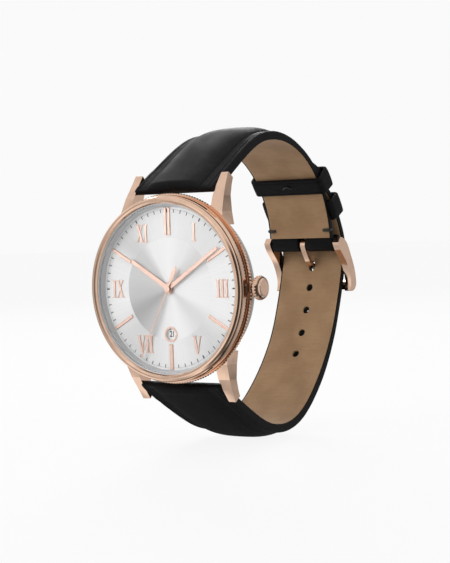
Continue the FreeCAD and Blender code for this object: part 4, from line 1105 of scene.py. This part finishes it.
low_turn, high_turn = seen_range(fixed, pivot, 0, 90)
near = pivot + outward(low_turn + 0.5) * hits_along(fixed, pivot, low_turn + 0.5)[0] * MM
far = pivot + outward(high_turn - 0.5) * hits_along(fixed, pivot, high_turn - 0.5)[0] * MM
way = (far - near).normalized()
facing = Vector((0, way.z, -way.y))
centre = (near + far) / 2
strap_below = lining_12.ray_cast(centre + Vector((5 * MM, 0, 0)) - facing * 12 * MM, facing)[0]
inside = (strap_below - centre).dot(facing) / MM + SKIN + 0.45
leather_loop("fixed_keeper_loop", centre, way, facing, (far - near).length / MM + 0.4,
             keeper_half - skin / 2, inside, skin / 2, skin, KEEPER_CORNER, "case_and_strap", "fixed_keeper")
print("keeper width, mm:", round(wide, 1))

# %% The fold round the buckle's bar
FOLD_OUTER, FOLD_INNER, FOLD_TAIL, TONGUE_SLOT = 1.7, 0.8, 2.4, 1.15
FOLD_TURN = -1.5          # degrees: the outward way at the bar


def fold_section(out, along, tail):
    """Points round the folded skin: it wraps the bar and both of its ends run back into the strap."""
    wraps = [math.radians(-100 + 200 * i / 24) for i in range(25)]
    ring = []
    for radius, turns in ((FOLD_OUTER, wraps), (FOLD_INNER, wraps[::-1])):
        arc = [along * -math.cos(t) * radius + out * math.sin(t) * radius for t in turns]
        ends = [out * -radius + along * tail, out * radius + along * tail]
        if turns is not wraps:
            ends.reverse()
        ring += [ends[0], *arc, ends[1]]
    return ring


def fold_half(name, start, stop):
    """One side of the fold, from start to stop mm across, with its cut ends rounded."""
    out = outward(FOLD_TURN)
    along = across_turn(FOLD_TURN)
    rings = []
    steps = [(0.0, 0.30), (0.05, 0.12), (0.16, 0.03), (0.32, 0.0)]
    places = [(start + f, inset) for f, inset in steps]
    places += [(start + (stop - start) * f, 0.0) for f in (0.3, 0.5, 0.7)]
    places += [(stop - f, inset) for f, inset in reversed(steps)]
    section = fold_section(out, along, FOLD_TAIL)
    middle_out = (FOLD_OUTER + FOLD_INNER) / 2
    for x, inset in places:
        ring = []
        for p in section:
            back = p.dot(along)
            core = p.normalized() * middle_out
            if back > 0:
                core = out * math.copysign(middle_out, p.dot(out)) + along * back
            p = p + (core - p).normalized() * inset
            ring.append(buckle_axis + p * MM + Vector((x * MM, 0, 0)))
        rings.append(ring)
    points, faces = loft(rings)
    return mesh_piece(name, points, faces, "black_calf", "case_and_strap")


strap_edge = data_12[-4][HALF]
fold_half("fold_crown_side", TONGUE_SLOT, strap_edge)
fold_half("fold_far_side", -strap_edge, -TONGUE_SLOT)
print("fold reaches, mm:", round(strap_edge, 1))

# %% Tack stitches, and the mark where the free keeper is sewn


def stitch(points, radius, name, body):
    """A thread laid through points: a thin round cord with tucked-in ends."""
    rings = []
    for i, point in enumerate(points):
        ahead = (points[min(i + 1, len(points) - 1)] - points[max(i - 1, 0)]).normalized()
        side = ahead.orthogonal().normalized()
        up = ahead.cross(side)
        full = radius * (0.35 if i in (0, len(points) - 1) else 1.0) * MM
        rings.append([point + (side * math.cos(t) + up * math.sin(t)) * full
                      for t in (math.radians(30 * k) for k in range(12))])
    mesh_points, faces = loft(rings)
    return mesh_piece(name, mesh_points, faces, "waxed_thread", body)


TACK_RUN = [(7.0, 0.25), (7.25, -0.12), (7.7, -0.24), (8.3, -0.26),
            (8.8, -0.22), (9.03, 0.1), (9.08, 0.7), (9.0, 1.2)]
KEEPER_MARK = [(-1.5, -0.5, 0.25), (-1.1, -0.2, -0.05), (-0.4, 0.35, -0.12),
               (0.2, 0.5, -0.12), (0.9, 0.1, -0.1), (1.6, -0.35, 0.2)]


def tack_stitches():
    """A tack at each edge, over the skins' end, and the stitch that closes the free keeper."""
    point, normal = line_12.frame_at(line_12.total - 2.3 * MM)
    for side, name in ((1, "crown_side"), (-1, "far_side")):
        path = [point + Vector((side * x * MM, 0, 0)) + normal * h * MM for x, h in TACK_RUN]
        stitch(path, 0.40, "tack_stitch_" + name, "case_and_strap")
    low = pivot + outward(middle_turn) * (free_inner - 0.10) * MM
    path = [low + Vector((x * MM, 0, 0)) + across_turn(middle_turn) * a * MM + outward(middle_turn) * h * MM
            for x, a, h in KEEPER_MARK]
    stitch(path, 0.2, "keeper_stitch", "free_keeper")


tack_stitches()
print("stitches laid")

# %% [markdown]
# ## Printing the dial
# A minute track is printed in black at the dial's edge: a stroke for each minute and four fine marks
# between. The ink stands a few microns above the lacquer, so we build it as very thin raised strips.
# Dates are printed on the ring below the dial, so that one shows in the window.

# %% Minute track
INK = 0.012
TRACK_OUTER, FINE_FROM, MINUTE_FROM = 17.95, 17.75, 17.15
FINE_WIDE, MINUTE_WIDE, FIVE_WIDE = 0.06, 0.20, 0.32


def dial_point(turn, out, lift=0.0):
    """A point over the dial: turn in degrees clockwise from 12, out in mm, lift in mm."""
    a = math.radians(turn)
    return Vector((math.sin(a) * out * MM, DIAL_TOP - lift * MM, math.cos(a) * out * MM))


def ink_stroke(shape, turn, inner, outer, wide):
    """A thin box on the dial from inner to outer, wide mm across."""
    across = Vector((math.cos(math.radians(turn)), 0, -math.sin(math.radians(turn)))) * wide / 2 * MM
    ends = [dial_point(turn, inner), dial_point(turn, outer)]
    rise = Vector((0, -INK * MM, 0))
    outline = (ends[0] - across, ends[0] + across, ends[1] + across, ends[1] - across)
    corners = [shape.verts.new(p) for p in outline]
    tops = [shape.verts.new(v.co + rise) for v in corners]
    shape.faces.new(tops)
    shape.faces.new(list(reversed(corners)))
    for i in range(4):
        k = (i + 1) % 4
        shape.faces.new((corners[i], corners[k], tops[k], tops[i]))


def print_track():
    shape = bmesh.new()
    for i in range(300):
        turn = i * 1.2
        if i % 5:
            ink_stroke(shape, turn, FINE_FROM, TRACK_OUTER, FINE_WIDE)
        else:
            ink_stroke(shape, turn, MINUTE_FROM, TRACK_OUTER, MINUTE_WIDE if i % 25 else FIVE_WIDE)
    bmesh.ops.recalc_face_normals(shape, faces=shape.faces)
    mesh = bpy.data.meshes.new("minute_track")
    shape.to_mesh(mesh)
    shape.free()
    return dressed("minute_track", mesh, "printed_black", "case_and_strap")


track = print_track()
print("minute track:", len(track.data.polygons), "faces")

# %% Dates
DATE_SHOWN = 21
DATE_REACH = 10.28
DATE_SIZE, DATE_INK = 1.8, 0.006
date_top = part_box("date_ring")[0].y


def print_dates():
    made = []
    for day in range(1, 32):
        text = bpy.data.curves.new("date", "FONT")
        text.body = str(day)
        text.size = DATE_SIZE * MM
        text.offset = 0.035 * MM
        text.align_x = "CENTER"
        text.align_y = "CENTER"
        text.extrude = DATE_INK * MM
        text.space_character = 0.9
        holder = new_object("date", text)
        spin = Matrix.Rotation(math.radians((day - DATE_SHOWN) * 360 / 31), 4, "Y")
        upright = Matrix.Rotation(math.radians(90), 4, "X")
        place = Matrix.Translation((0, date_top - DATE_INK * MM, -DATE_REACH * MM))
        narrow = Matrix.Diagonal((0.86, 1.05, 1, 1))
        holder.matrix_world = spin @ place @ upright @ narrow
        made.append(holder)
    bpy.context.view_layer.update()
    shape = bmesh.new()
    for holder in made:
        flat = bpy.data.meshes.new_from_object(holder.evaluated_get(bpy.context.evaluated_depsgraph_get()))
        flat.transform(holder.matrix_world)
        shape.from_mesh(flat)
        bpy.data.meshes.remove(flat)
        bpy.data.objects.remove(holder)
    mesh = bpy.data.meshes.new("dates")
    shape.to_mesh(mesh)
    shape.free()
    return dressed("dates", mesh, "printed_black", "date_ring")


dates = print_dates()
print("dates:", len(dates.data.polygons), "faces")
